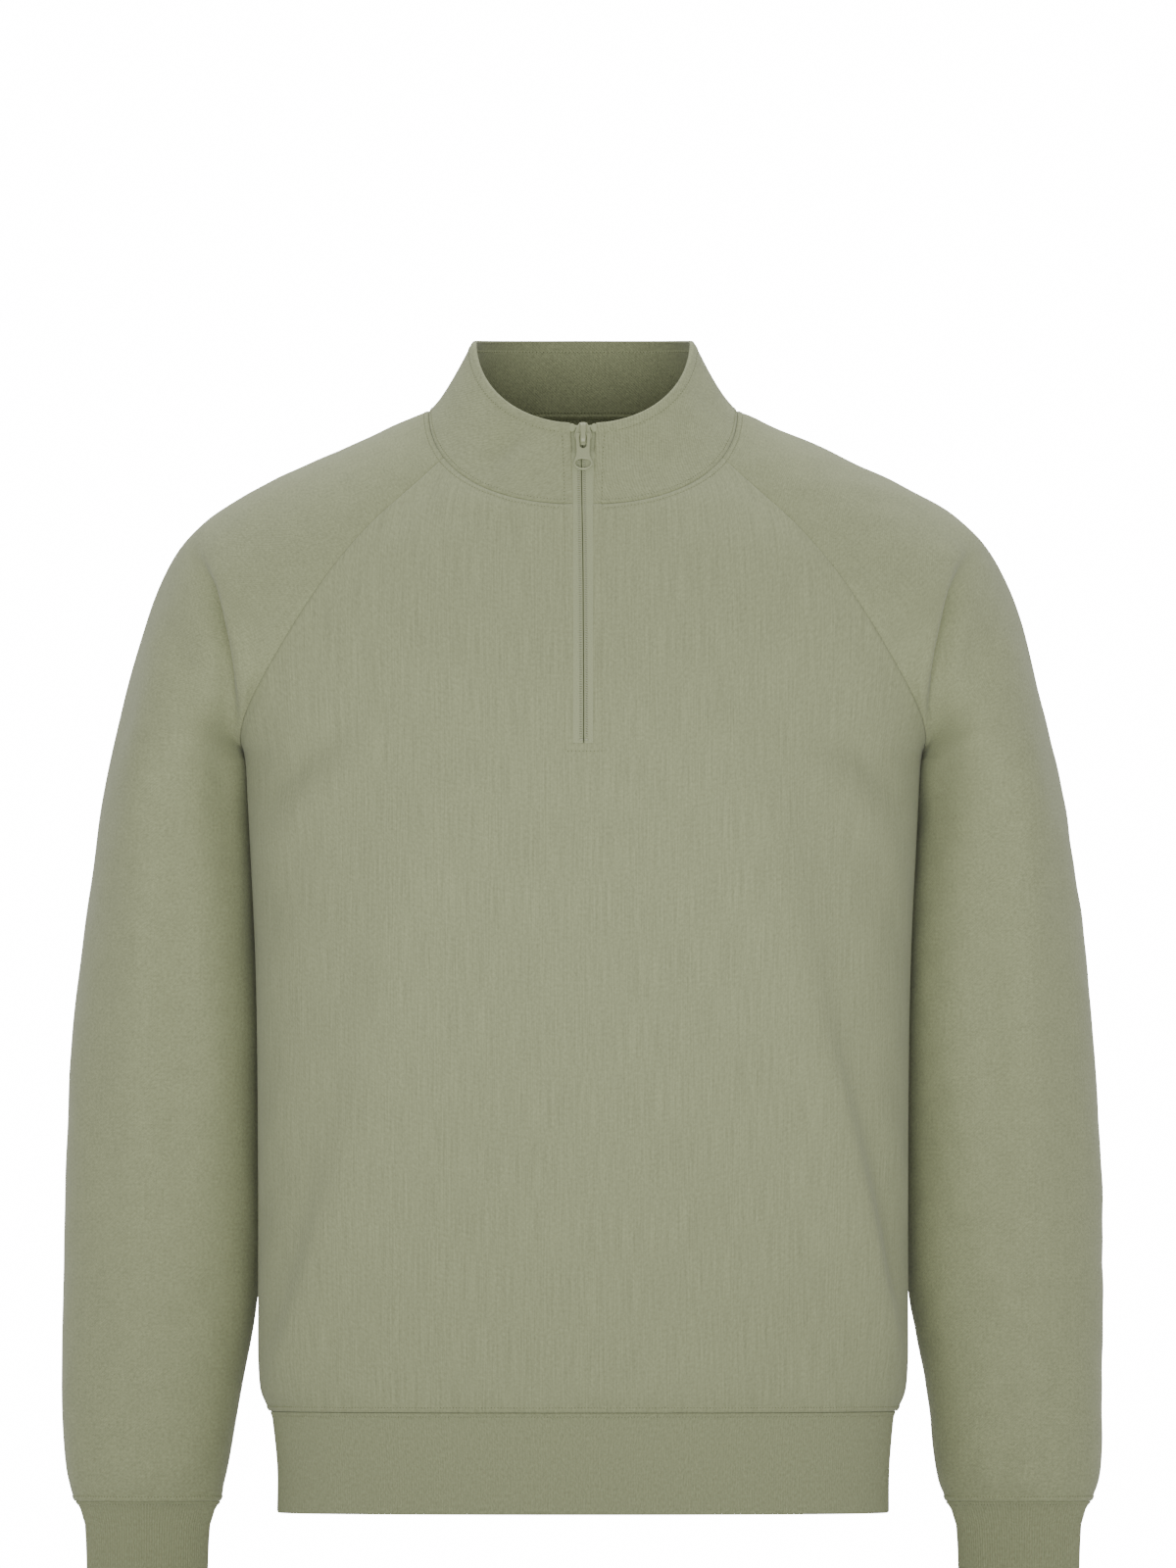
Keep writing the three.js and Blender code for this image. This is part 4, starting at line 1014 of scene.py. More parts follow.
def shell(name, skin, wall, sewn, free=None, keep=None, weld=None, middle=0.5, level=False):
    """A piece of cloth as a thin closed skin, rounded off at its edges.

    Sewn and free are each point's distance from each kind of edge. From the row weld down, the
    first and last columns are one.
    """
    rows, columns = skin.points.shape[:2]
    across = skin.across - skin.across[:, int(columns * middle)][:, None]
    down = skin.down[:, columns // 2][:, None] + 0 * across if level else skin.down
    inset = rounded_off(sewn, SEAM_ROUND)
    if free is not None:
        inset = np.maximum(inset, rounded_off(free, wall / 2))
    inset = inset[..., None]
    outer = (skin.points - skin.normals * inset).reshape(-1, 3)
    inner = (skin.points - skin.normals * (wall - inset)).reshape(-1, 3)
    number = np.arange(rows * columns).reshape(rows, columns)
    if weld is not None:
        number[weld:, -1] = number[weld:, 0]
    quads = np.stack([number[:-1, :-1], number[1:, :-1], number[1:, 1:], number[:-1, 1:]], -1)
    quads = quads[keep] if keep is not None else quads.reshape(-1, 4)
    ends = np.concatenate([quads[:, [i, (i + 1) % 4]] for i in range(4)])
    size = rows * columns
    forward = ends[:, 0] * size + ends[:, 1]
    backward = ends[:, 1] * size + ends[:, 0]
    border = ends[~np.isin(forward, backward)]
    rim = np.stack([border[:, 1], border[:, 0], border[:, 0] + size, border[:, 1] + size], -1)
    faces = np.concatenate([quads, quads[:, ::-1] + size, rim])
    uv = np.stack([across, down], -1).reshape(-1, 2)
    return make_mesh(name, np.concatenate([outer, inner]), faces, np.tile(uv, (2, 1)))


def sewn_round(sides, skin):
    """How far each point is from the nearest seam, the sides' seams being this far."""
    return np.minimum(np.minimum(sides, skin.down), skin.up)


cloth = [
    shell("front_cloth", front_skin, WALL, sewn_round(front_skin.ends, front_skin), slit_gap, kept),
    shell("back_cloth", back_skin, WALL, sewn_round(back_skin.ends, back_skin)),
]
for name, skin in (("sleeve_left_cloth", left_sleeve), ("sleeve_right_cloth", right_sleeve)):
    sewn = sewn_round(from_raglan(skin), skin)
    cloth.append(shell(name, skin, WALL, sewn, weld=first_closed, level=True))
free = np.minimum(collar.down, collar.ends)
cloth.append(shell("collar_cloth", collar, COLLAR_WALL, collar.up, free))
for name, skin in (("hem_rib", hem), ("cuff_left_rib", left_cuff), ("cuff_right_rib", right_cuff)):
    cloth.append(shell(name, skin, RIB_WALL, skin.down, skin.up, weld=0))

# what each stands for, its slot, its size laid flat and its area
PIECES = {
    "front_cloth": ("front_panel", "body_cloth", (0.56, 0.66), 0.305),
    "back_cloth": ("back_panel", "body_cloth", (0.54, 0.70), 0.312),
    "sleeve_left_cloth": ("sleeve_left", "sleeve_cloth", (0.48, 0.79), 0.2515),
    "sleeve_right_cloth": ("sleeve_right", "sleeve_cloth", (0.48, 0.79), 0.2515),
    "collar_cloth": ("collar", "body_cloth", (0.52, 0.06), 0.0295),
    "hem_rib": ("hem_band", "rib", (1.04, 0.067), 0.0685),
    "cuff_left_rib": ("cuff_left", "rib", (0.22, 0.07), 0.0151),
    "cuff_right_rib": ("cuff_right", "rib", (0.22, 0.07), 0.0151),
}
for piece in cloth:
    node, slot, flat, area = PIECES[piece.name]
    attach(piece, "garment")
    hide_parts(node)

# ------------------------------------------------------------------ sewing
# A stitch is a short bead, and so is the painted shade in a needle hole or between coil stitches: how
# far along, how wide, and how high.
STITCH = [(-1, 0.4, -0.8), (-0.5, 0.98, 0.3), (0.5, 0.98, 0.3), (1, 0.4, -0.8)]
HOLE_SHADE_FORM = [(-1, 0.3, 0), (0, 1, 0), (1, 0.3, 0)]
ROUND_CAP = [[5, 4, 3, 0], [3, 2, 1, 0]]
SQUARE_CAP = [[3, 2, 1, 0]]


def beads(line, normals, pitch, form, length, thick, offset=0.0, rise=0.0, slant=0.0, across=False):
    """Beads evenly spaced along a line on the cloth."""
    run = lengths(line[:, None], 0)[:, 0]
    count = max(1, round(run[-1] / pitch))
    step = run[-1] / count
    middles = (np.arange(count) + 0.5 + offset) * step

    def at(place, values):
        return np.stack([np.interp(place, run, part) for part in values.T], -1)
    out = unit(at(middles, normals))
    ahead = unit(at(middles + 0.4, line) - at(middles - 0.4, line))
    side = unit(np.cross(out, ahead))
    out = np.cross(ahead, side)
    middle = at(middles, line)
    sides, cap = (4, SQUARE_CAP) if form is HOLE_SHADE_FORM else (6, ROUND_CAP)
    if across:
        ahead, side = unit(side + ahead * slant), unit(-ahead + side * slant)
    rings = []
    for along, wide, high in form:
        if across:
            centre = middle + ahead * (along * length / 2)
        else:
            centre = at(middles + along * length / 2, line)
        centre = centre + out * (high * thick + rise)
        for k in range(sides):
            angle = 2 * math.pi * k / sides
            ring = side * math.cos(angle) + out * math.sin(angle)
            rings.append(centre + ring * wide * thick)
    points = np.stack(rings, 1)
    faces = list(cap)
    for ring in range(len(form) - 1):
        for k in range(sides):
            a, b = ring * sides + k, ring * sides + (k + 1) % sides
            faces.append([a, b, b + sides, a + sides])
    last = (len(form) - 1) * sides
    faces += [[last + corner for corner in reversed(face)] for face in cap]
    size = len(form) * sides
    faces = np.array(faces)[None] + (np.arange(count) * size)[:, None, None]
    return points.reshape(-1, 3), faces.reshape(-1, 4)


def joined(name, parts):
    """One object of many small closed forms."""
    points, faces = zip(*parts)
    starts = np.cumsum([0] + [len(some) for some in points[:-1]])
    faces = [some + start for some, start in zip(faces, starts)]
    return make_mesh(name, np.concatenate(points), np.concatenate(faces))


thread_beads = []
hole_shade_beads = []


def sew(line, pitch, share=0.66, thick=0.36, hole_shade=0.6):
    """A row of stitches, and of dark beads between them that are painted shade in the needle holes."""
    points, normals = line
    thread_beads.append(beads(points, normals, pitch, STITCH, share * pitch, thick, rise=-0.1))
    # dark beads between the stitches: painted shade in the needle holes
    hole_shade_beads.append(beads(points, normals, pitch, HOLE_SHADE_FORM, 1.1 * hole_shade, hole_shade, 0.5, -0.22))


def inside(line, wall):
    """The same line on the cloth's inner face."""
    points, normals = line
    return points - normals * wall, -normals


NECK_STITCHES = dict(pitch=2.2, hole_shade=0.58)
HEM_STITCHES = dict(pitch=2.1, share=0.6, hole_shade=0.55)
ZIP_STITCHES = dict(pitch=2.6, thick=0.25, hole_shade=0.36)
FOOT_STITCHES = dict(pitch=2.33, share=0.6, hole_shade=0.55)
EDGE_COLUMNS = 30    # enough columns to reach the collar's upright stitches
FOLD_COLUMNS = 20    # and the zip's

# the collar: its rim, its neck seam and its two front edges
for row, distance, value, pitch in (
        (0, collar.down, RIM_STITCH, 2.5), (-1, collar.up, NECK_ABOVE, 2.2)):
    columns = np.nonzero(collar.ends[row] >= ZIP_STITCH)[0]
    line = collar.line(distance, value, columns)
    sew(line, pitch)
    sew(inside(line, COLLAR_WALL), pitch)
rows = np.nonzero((collar.down[:, 0] >= RIM_STITCH) & (collar.up[:, 0] > 0.6))[0]
nearest = slice(0, EDGE_COLUMNS)
farthest = slice(-EDGE_COLUMNS, None)
for distance, columns in ((collar.across, nearest), (collar.back_across, farthest)):
    sew(collar.upright_line(distance, ZIP_STITCH, rows, columns), 2.6)

# the zip: its two sides, and its foot
rows = np.nonzero((front_skin.down[:, left_edge] > 0.6) & (front_stations <= ZIP_END))[0]
rows = np.append(rows, np.nonzero((below[:, left_edge] > 0) & (below[:, left_edge] <= 5.5))[0])
left_part = slice(left_edge - FOLD_COLUMNS, left_edge + 1)
right_part = slice(right_edge, right_edge + FOLD_COLUMNS + 1)
for columns in (left_part, right_part):
    sew(front_skin.upright_line(beside, ZIP_STITCH, rows, columns), **ZIP_STITCHES)
points, normals = front_skin.line(below, ZIP_STITCH - 0.6, slice(left_edge - 11, right_edge + 12))
keep = np.abs(points[:, 0]) <= ZIP_HALF + ZIP_STITCH
sew((points[keep], normals[keep]), **FOOT_STITCHES)

# the neck seam on the body, then the hem's and the cuffs' seams
outer = np.nonzero(np.abs(front_skin.points[0, :, 0]) >= ZIP_HALF + ZIP_STITCH - 0.3)[0]
for columns in (outer[outer <= left_edge], outer[outer >= right_edge]):
    sew(front_skin.line(front_skin.down, NECK_BELOW, columns), **NECK_STITCHES)
for skin in (back_skin, left_sleeve, right_sleeve):
    line = skin.line(skin.down, NECK_BELOW)
    sew(line, **NECK_STITCHES)
    sew(inside(line, WALL), 2.2)
for skin in (front_skin, back_skin, left_sleeve, right_sleeve):
    sew(skin.line(skin.up, HEM_ABOVE), **HEM_STITCHES)


def smooth_ring(line, reach):
    """A closed line with the ribs evened out of it."""
    points, normals = line
    kernel = np.ones(reach) / reach
    evened = []
    for values in (points[:-1], normals[:-1]):
        padded = np.concatenate([values[-reach:], values, values[:reach]])
        spread = [np.convolve(part, kernel, "same")[reach:-reach] for part in padded.T]
        evened.append(np.stack(spread, -1))
    return [np.concatenate([values, values[:1]]) for values in evened]


for skin in (hem, left_cuff, right_cuff):
    points, normals = smooth_ring(skin.line(skin.down, HEM_BELOW), 9)
    sew((points + normals * 0.12, normals), 2.1, share=0.7, hole_shade=0.4)

threads = joined("stitches", thread_beads)
# the needle holes' dark beads are painted shade
hole_shades = joined("painted_hole_shade", hole_shade_beads)
for piece in (threads, hole_shades):
    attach(piece, "garment")

# ------------------------------------------------------------------ zip
TAPE_WALL = 0.8
TAPE_BACK = 0.5
TAPE_FLUSH = -0.1    # the tape's face below the slider, from the cloth's
TAPE_IN_SLIDER = -1.7  # and inside of the slider
TAPE_HALF = 12.0
SLIDER_PAST = 16     # the slider's lower end, from the rim
GAP_HALF = 0.22      # half the dark line between the tapes
DASH_MIDDLE = 1.95   # from the zip's middle to the middle of each column of coil stitches
DASH_LONG = 1.9
DASH_PITCH = 1.55
COIL_END = 8.18      # station of the last coil stitch
TAPE_ROW = 60        # any of the zip's rows that is well below the slider

# the way down the zip: as heights up the collar, then as stations
ZIP_UPS = np.linspace(0.985, 0.04, 34)
ZIP_STATIONS = np.linspace(0.12, 8.62, 92)
ZIP_ROWS = len(ZIP_UPS) + len(ZIP_STATIONS)


def zip_line(x):
    """Points down the front at a distance from the middle, over the collar and the body."""
    x = x + np.zeros(ZIP_ROWS)
    apart = np.abs(x)
    upper = [collar_point(half, np.array([0.0]), np.array([up])) for half, up in zip(apart, ZIP_UPS)]
    line = np.concatenate(upper + [panel_point("front", ZIP_STATIONS, apart[len(ZIP_UPS):])])
    line[:, 0] *= np.sign(x)
    return line


# for each of the zip's rows: how far below the first one it is, half the opening in the cloth,
# and how far the line between the tapes, which is a little askew, is from the middle
zip_run = lengths(zip_line(0.01)[:, None], 0)[:, 0]
zip_edge = np.concatenate([zip_half(ZIP_UPS), ZIP_HALF + 0 * ZIP_STATIONS])
zip_drift = 0.4 * ease((zip_run - 90) / 110)
zip_drift -= 1.1 * ease(1 - (zip_run - 18) / 100) * ease((zip_run - 10) / 12)


def tape_skin(side):
    """One tape, nearly flush with the cloth in the opening and behind it at the sides.

    Inner and outer are its columns' places, from the zip's line and past the cloth's edge.
    """
    inner = np.array([GAP_HALF, 0.4, 0.75, 1.2, 1.7, 2.4, 3.1, 3.7, 4.2])
    outer = np.array([-0.8, -0.2, 0.3, 0.55, 0.8, 1.1, 1.6, 2.8, TAPE_HALF - ZIP_HALF])
    columns = [side * x + zip_drift for x in inner] + [side * (zip_edge + x) for x in outer]
    skin = Skin(np.stack([zip_line(x) for x in columns[::side]], 1))
    for _ in range(3):
        skin.normals[1:-1] = unit(skin.normals[:-2] + skin.normals[1:-1] + skin.normals[2:])
    past = np.abs(skin.points[..., 0]) - zip_edge[:, None]
    x = np.abs(skin.points[..., 0] - zip_drift[:, None])
    below_slider = ease((zip_run[:, None] - SLIDER_PAST) / 6)
    flush = TAPE_IN_SLIDER + (TAPE_FLUSH - TAPE_IN_SLIDER) * below_slider
    behind = -WALL - TAPE_BACK
    depth = flush + (behind - flush) * ease((past - 0.45) / 1.1)
    depth -= 0.45 * np.exp(-(x / 0.5) ** 2)
    depth += 0.16 * np.exp(-(x - DASH_MIDDLE) ** 2)
    skin.lift(depth)
    return skin


coil = []
coil_shade_beads = []
coil_rows = np.searchsorted(ZIP_STATIONS, COIL_END) + len(ZIP_UPS)
for side, name in ((1, "left"), (-1, "right")):
    skin = tape_skin(side)
    far = np.full(skin.down.shape, 9.0)
    free = np.minimum(skin.ends + 0.1, np.minimum(skin.down, skin.up))
    tape = shell(f"zip_tape_{name}_cloth", skin, TAPE_WALL, far, free, middle=0.0)
    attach(tape, "garment")
    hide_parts(f"zip_tape_{name}")
    x = np.abs(skin.points[TAPE_ROW, :, 0] - zip_drift[TAPE_ROW])
    column = int(np.argmin(np.abs(x - DASH_MIDDLE)))
    line = skin.points[:coil_rows, column] + 0
    line[:, 0] = side * DASH_MIDDLE + zip_drift[:coil_rows]
    normals = skin.normals[:coil_rows, column]
    slanted = dict(slant=0.2 * (side + 1) + 0.05, across=True)
    coil.append(beads(line, normals, DASH_PITCH, STITCH, DASH_LONG, 0.4, rise=0.02, **slanted))
    # dark beads between the coil stitches: painted shade in the gaps between them
    coil_shade_beads.append(beads(line, normals, DASH_PITCH, HOLE_SHADE_FORM, DASH_LONG, 0.34, 0.5, -0.1, **slanted))
    # the stop below the last coil stitch
    stop = slice(coil_rows, coil_rows + 3)
    line = skin.points[stop, column]
    coil.append(beads(line, skin.normals[stop, column], 9, STITCH, 3.0, 0.75, rise=0.1, across=True))
coil_stitches = joined("coil_stitches", coil)
# the coil's dark beads are painted shade
painted_coil_shade = joined("painted_coil_shade", coil_shade_beads)
for piece in (coil_stitches, painted_coil_shade):
    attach(piece, "garment")


# The slider and pull are made flat, then laid along the collar's front: +Y up the zip and +Z
# away from the garment, from the rim's height on the cloth's outer face.
SLIDER_FACE = [
    (0, 1.6), (-0.7, 2.7), (-3, 3.8), (-6, 5), (-8.6, 5.7), (-10.4, 5.6), (-13.4, 4.4),
    (-15, 3.9), (-15.6, 3.2),
]
SLIDER_FRONT = 1.0
SLIDER_UNDER = -0.75
BACK_PLATE_FRONT = -3.75
BACK_PLATE_THICK = 1.1
BRIDGE_TOP = -1.0
BRIDGE_BOTTOM = -15.2
BRIDGE_WIDTH = 3.5
BRIDGE_HEIGHT = 4.3
BRIDGE_HOLE = 1.35
HINGE_ALONG = -9.2
HINGE_OUT = 2.3
POST_HALF = 1.0      # the post between the slider's two plates
POST_TOP = -1.0
POST_BOTTOM = -5.0
END_PAD_X = 7.2      # the tapes' turned ends, either side of the slider
PULL_THICK = 1.4
RING_MIDDLE = -20.8
RING_HALF = 6.4
RING_TALL = 4.6
HOLE_HALF = 5.1
HOLE_TALL = 3.3
PULL_SIDE = [
    (0.8, 3.6), (0.5, 4.3), (-0.4, 4.6), (-4, 4.6), (-8.3, 4.45), (-11.6, 4.25), (-14.1, 4.35),
    (-16.2, 4.8), (-17.8, 5.5),
]
SLOT_SIDE = [(-0.8, 2.1), (-7.8, 2.1), (-9, 1.8), (-9.7, 1.1), (-10, 0.4)]


def loop_of(side):
    """A closed outline from one side's places along and half widths."""
    left = [(-half, along) for along, half in side]
    right = [(half, along) for along, half in side]
    return np.array(left + right[::-1], float)


def rounded(loop, parts=4):
    """A closed outline with its corners rounded off by a smooth curve through its points."""
    count = len(loop)
    made = []
    for i in range(count):
        a, b, c, d = (loop[(i + k) % count] for k in (-1, 0, 1, 2))
        for t in np.arange(parts) / parts:
            made.append(0.5 * (2 * b + (c - a) * t + (2 * a - 5 * b + 4 * c - d) * t ** 2
                               + (3 * b - a - 3 * c + d) * t ** 3))
    return np.array(made)


def oval(half, tall, middle, count=48, start=0.0, stop=2 * math.pi):
    angles = np.linspace(start, stop, count, endpoint=stop - start < 6.28)
    return np.stack([half * np.sin(angles), middle - tall * np.cos(angles)], -1)


def plate(outlines, low, high, bevel):
    """A flat piece with rounded edges, as a mesh in millimetres."""
    curve = bpy.data.curves.new("plate", "CURVE")
    curve.dimensions = "2D"
    curve.fill_mode = "BOTH"
    for loop in outlines:
        spline = curve.splines.new("POLY")
        spline.points.add(len(loop) - 1)
        for point, (x, y) in zip(spline.points, loop):
            point.co = (x, y, 0, 1)
        spline.use_cyclic_u = True
    curve.extrude = (high - low) / 2 - bevel
    curve.bevel_depth = bevel
    curve.bevel_resolution = 2
    curve.offset = -bevel
    holder = bpy.data.objects.new("plate", curve)
    bpy.context.scene.collection.objects.link(holder)
    bpy.context.view_layer.update()
    mesh = bpy.data.meshes.new_from_object(holder.evaluated_get(bpy.context.evaluated_depsgraph_get()))
    bpy.data.objects.remove(holder)
    bpy.data.curves.remove(curve)
    for vertex in mesh.vertices:
        vertex.co.z += (high + low) / 2
    return mesh


def assemble(name, meshes, move):
    """Joins meshes made in the zip's own frame, and lays them where they belong."""
    joined_mesh = bmesh.new()
    for mesh in meshes:
        joined_mesh.from_mesh(mesh)
    bmesh.ops.remove_doubles(joined_mesh, verts=joined_mesh.verts, dist=1e-4)
    bmesh.ops.recalc_face_normals(joined_mesh, faces=joined_mesh.faces)
    joined_mesh.transform(move)
    mesh = bpy.data.meshes.new(name)
    joined_mesh.to_mesh(mesh)
    joined_mesh.free()
    mesh.polygons.foreach_set("use_smooth", np.full(len(mesh.polygons), True))
    mesh.set_sharp_from_angle(angle=math.radians(40))
    made = bpy.data.objects.new(name, mesh)
    bpy.context.scene.collection.objects.link(made)
    return made


rim_front = collar_point(0.0, np.array([0.0]), np.array([1.0]))[0]
neck_front = collar_point(0.0, np.array([0.0]), np.array([0.0]))[0]
zip_lean = math.atan2(rim_front[2] - neck_front[2], rim_front[1] - neck_front[1])
lay = Matrix.Translation(Vector(rim_front * MM)) @ Matrix.Rotation(zip_lean, 4, "X")
lay = lay @ Matrix.Scale(MM, 4)

face = rounded(loop_of(SLIDER_FACE))
bridge_side = np.array([
    (0.4, BRIDGE_TOP), (1.8, BRIDGE_TOP + 0.1), (BRIDGE_HEIGHT - 1.2, BRIDGE_TOP - 0.7),
    (BRIDGE_HEIGHT - 0.3, BRIDGE_TOP - 2.2), (BRIDGE_HEIGHT, BRIDGE_TOP - 4.2),
    (BRIDGE_HEIGHT, -7), (BRIDGE_HEIGHT, -11), (BRIDGE_HEIGHT - 0.2, BRIDGE_BOTTOM + 2.2),
    (BRIDGE_HEIGHT - 1.2, BRIDGE_BOTTOM + 0.6), (1.8, BRIDGE_BOTTOM), (0.4, BRIDGE_BOTTOM),
])
bridge_hole = oval(BRIDGE_HOLE, BRIDGE_HOLE, 0, 20) + [HINGE_OUT, HINGE_ALONG]
bridge = plate([rounded(bridge_side, 3), bridge_hole], -BRIDGE_WIDTH / 2, BRIDGE_WIDTH / 2, 0.7)
bridge.transform(Matrix.Rotation(-math.pi / 2, 4, "Y"))
post_outline = np.array([
    (-POST_HALF, POST_BOTTOM), (POST_HALF, POST_BOTTOM),
    (POST_HALF, POST_TOP), (-POST_HALF, POST_TOP),
])
post = plate([post_outline], BACK_PLATE_FRONT - 0.4, 0.5, 0.1)
slider = assemble("slider", [
    plate([face], SLIDER_UNDER, SLIDER_FRONT, 0.55),
    plate([face], BACK_PLATE_FRONT - BACK_PLATE_THICK, BACK_PLATE_FRONT, 0.3),
    post, bridge,
], lay)
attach(slider, "garment")
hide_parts("zip_slider")

# the tapes' upper ends, turned back beside the slider
end_pad = oval(2.3, 3.0, -3.4, 28)
tape_ends = assemble("tape_ends", [
    plate([end_pad + [x, 0]], -1.6, 0.4, 0.9) for x in (END_PAD_X, -END_PAD_X)
], lay)
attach(tape_ends, "garment")

reach = math.pi * 0.66    # how far round the ring's outline goes on either side
left, right = np.split(loop_of(PULL_SIDE), 2)
ring = oval(RING_HALF, RING_TALL, RING_MIDDLE, 27, -reach, reach)
outline = rounded(np.concatenate([left, ring, right]), 3)
pull_mesh = plate([outline, rounded(loop_of(SLOT_SIDE), 3), oval(HOLE_HALF, HOLE_TALL, RING_MIDDLE)],
                  -PULL_THICK / 2, PULL_THICK / 2, 0.5)
hang = lay @ Matrix.Translation(Vector((0, HINGE_ALONG, HINGE_OUT)))
pull = assemble("pull", [pull_mesh], hang)
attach(pull, "pull")
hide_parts("pull_tab")

# ------------------------------------------------------------------ materials
def linear(colour):
    """The shader's numbers for a colour as it is seen, from 0 to 255."""
    c = np.array(colour, float) / 255
    made = np.where(c <= 0.04045, c / 12.92, ((c + 0.055) / 1.055) ** 2.4)
    return (*made, 1.0)


class Nodes:
    """A short way to write a material's nodes."""

    def __init__(self, name, roughness):
        self.material = bpy.data.materials.new(name)
        self.material.use_nodes = True
        self.tree = self.material.node_tree
        self.shader = self.tree.nodes["Principled BSDF"]
        self.set("Roughness", roughness)
        self.set("Specular IOR Level", 0.25)

    def set(self, socket, value):
        self.shader.inputs[socket].default_value = value

    def add(self, kind):
        return self.tree.nodes.new(kind)

    def feed(self, node, socket, value):
        target = node.inputs[socket]
        if isinstance(value, bpy.types.NodeSocket):
            self.tree.links.new(value, target)
        else:
            target.default_value = value

    def math(self, operation, a, b=0.0):
        node = self.add("ShaderNodeMath")
        node.operation = operation
        self.feed(node, 0, a)
        self.feed(node, 1, b)
        return node.outputs[0]

    def plus(self, base, extra, share):
        """Base, with a share of extra added to it."""
        return self.math("ADD", base, self.math("MULTIPLY", extra, share))

    def wave(self, value):
        return self.math("SINE", self.math("MULTIPLY", value, 2 * math.pi))

    def place(self, across, along, deep=None):
        """Where a point is, in steps of these sizes: on the flat cloth, or in space if deep."""
        if deep is None:
            source = self.add("ShaderNodeUVMap")
            source.uv_map = "cloth"
            vector = source.outputs[0]
            scale = (1 / (across * MM), 1 / (along * MM), 1)
        else:
            vector = self.add("ShaderNodeTexCoord").outputs["Object"]
            scale = (1 / (across * MM), 1 / (along * MM), 1 / (deep * MM))
        mapping = self.add("ShaderNodeMapping")
        self.feed(mapping, "Vector", vector)
        self.feed(mapping, "Scale", scale)
        return mapping.outputs[0]

    def axes(self, across, along):
        """The same on the flat cloth, as two numbers."""
        node = self.add("ShaderNodeSeparateXYZ")
        self.feed(node, 0, self.place(across, along))
        return node.outputs[0], node.outputs[1]

    def noise(self, place, detail=2.0, rough=0.6):
        node = self.add("ShaderNodeTexNoise")
        self.feed(node, "Vector", place)
        self.feed(node, "Scale", 1.0)
        self.feed(node, "Detail", detail)
        self.feed(node, "Roughness", rough)
        return node.outputs["Fac"]

    def colours(self, share, colour, low, high, low_at=0.3, high_at=0.7):
        """Colours from low to high times the given one, by the share at each point."""
        ramp = self.add("ShaderNodeValToRGB")
        self.feed(ramp, "Fac", share)
        ends = ramp.color_ramp.elements
        for end, times, place in ((ends[0], low, low_at), (ends[1], high, high_at)):
            end.position = place
            end.color = linear(np.array(colour) * times)
        self.tree.links.new(ramp.outputs[0], self.shader.inputs["Base Color"])

    def bump(self, height, distance, strength):
        node = self.add("ShaderNodeBump")
        self.feed(node, "Height", height)
        self.feed(node, "Distance", distance * MM)
        self.feed(node, "Strength", strength)
        self.tree.links.new(node.outputs[0], self.shader.inputs["Normal"])


def soft_cloth(name, roughness, sheen):
    """The start of a cloth's material, with a soft sheen."""
    nodes = Nodes(name, roughness)
    nodes.set("Sheen Weight", sheen)
    nodes.set("Sheen Roughness", 0.5)
    return nodes


def fleece(name, colour, across, along, streak, twill):
    """Brushed fleece: a mixed yarn, long streaks, fine diagonal lines and a soft nap."""
    nodes = soft_cloth(name, 0.95, 0.18)
    wales = nodes.noise(nodes.place(1.0, 42), 1.5)
    mottle = nodes.noise(nodes.place(1.7 / across, 2.1 / along), 2.5, 0.7)
    cloud = nodes.noise(nodes.place(14, 14))
    x, y = nodes.axes(2.1, 1.9)
    slant = nodes.wave(nodes.plus(nodes.math("ADD", x, y), cloud, 1.2))
    share = nodes.math("MULTIPLY", mottle, 0.8 - 0.2 * streak)
    share = nodes.plus(share, wales, 0.4 * streak)
    share = nodes.plus(share, cloud, 0.2 * (1 - streak))
    share = nodes.plus(share, slant, 0.07 * twill)
    nodes.colours(share, colour, 0.9, 1.1, 0.32, 0.68)
    knit = nodes.wave(nodes.axes(0.95, 0.7)[0])
    nap = nodes.noise(nodes.place(0.8, 0.8))
    height = nodes.plus(nap, knit, 0.05 + 0.08 * streak)
    height = nodes.plus(height, wales, 1.3 * streak)
    height = nodes.plus(height, slant, 0.28 * twill)
    nodes.bump(height, 0.22, 0.75)
    return nodes.material


def rib_knit(name, colour):
    """The face of the ribs, which are shapes of their own."""
    nodes = soft_cloth(name, 0.95, 0.15)
    nodes.colours(nodes.noise(nodes.place(1.4, 2.2), 2.5, 0.7), colour, 0.92, 1.08)
    loops = nodes.wave(nodes.axes(0.9, 0.9)[1])
    nap = nodes.noise(nodes.place(0.7, 0.7))
    nodes.bump(nodes.plus(nap, loops, 0.06), 0.15, 0.7)
    return nodes.material


def thread(name, colour):
    nodes = Nodes(name, 0.75)
    strands = nodes.noise(nodes.place(0.35, 0.35, 0.35), 1.0)
    nodes.colours(strands, colour, 0.88, 1.08)
    nodes.bump(strands, 0.05, 0.6)
    return nodes.material


def woven_tape(name, colour):
    nodes = soft_cloth(name, 0.8, 0.1)
    warp, weft = nodes.axes(0.55, 0.42)
    weave = nodes.math("MULTIPLY", nodes.wave(warp), nodes.wave(weft))
    grain = nodes.noise(nodes.place(0.9, 0.9))
    nodes.colours(grain, colour, 0.95, 1.04)
    nodes.bump(nodes.plus(grain, weave, 0.5), 0.06, 0.6)
    return nodes.material


def painted_metal(name, colour):
    nodes = Nodes(name, 0.38)
    nodes.set("Specular IOR Level", 0.5)
    nodes.set("Coat Weight", 0.25)
    nodes.set("Coat Roughness", 0.25)
    grain = nodes.noise(nodes.place(0.5, 0.5, 0.5))
    nodes.colours(grain, colour, 0.97, 1.03)
    nodes.bump(grain, 0.01, 0.4)
    return nodes.material


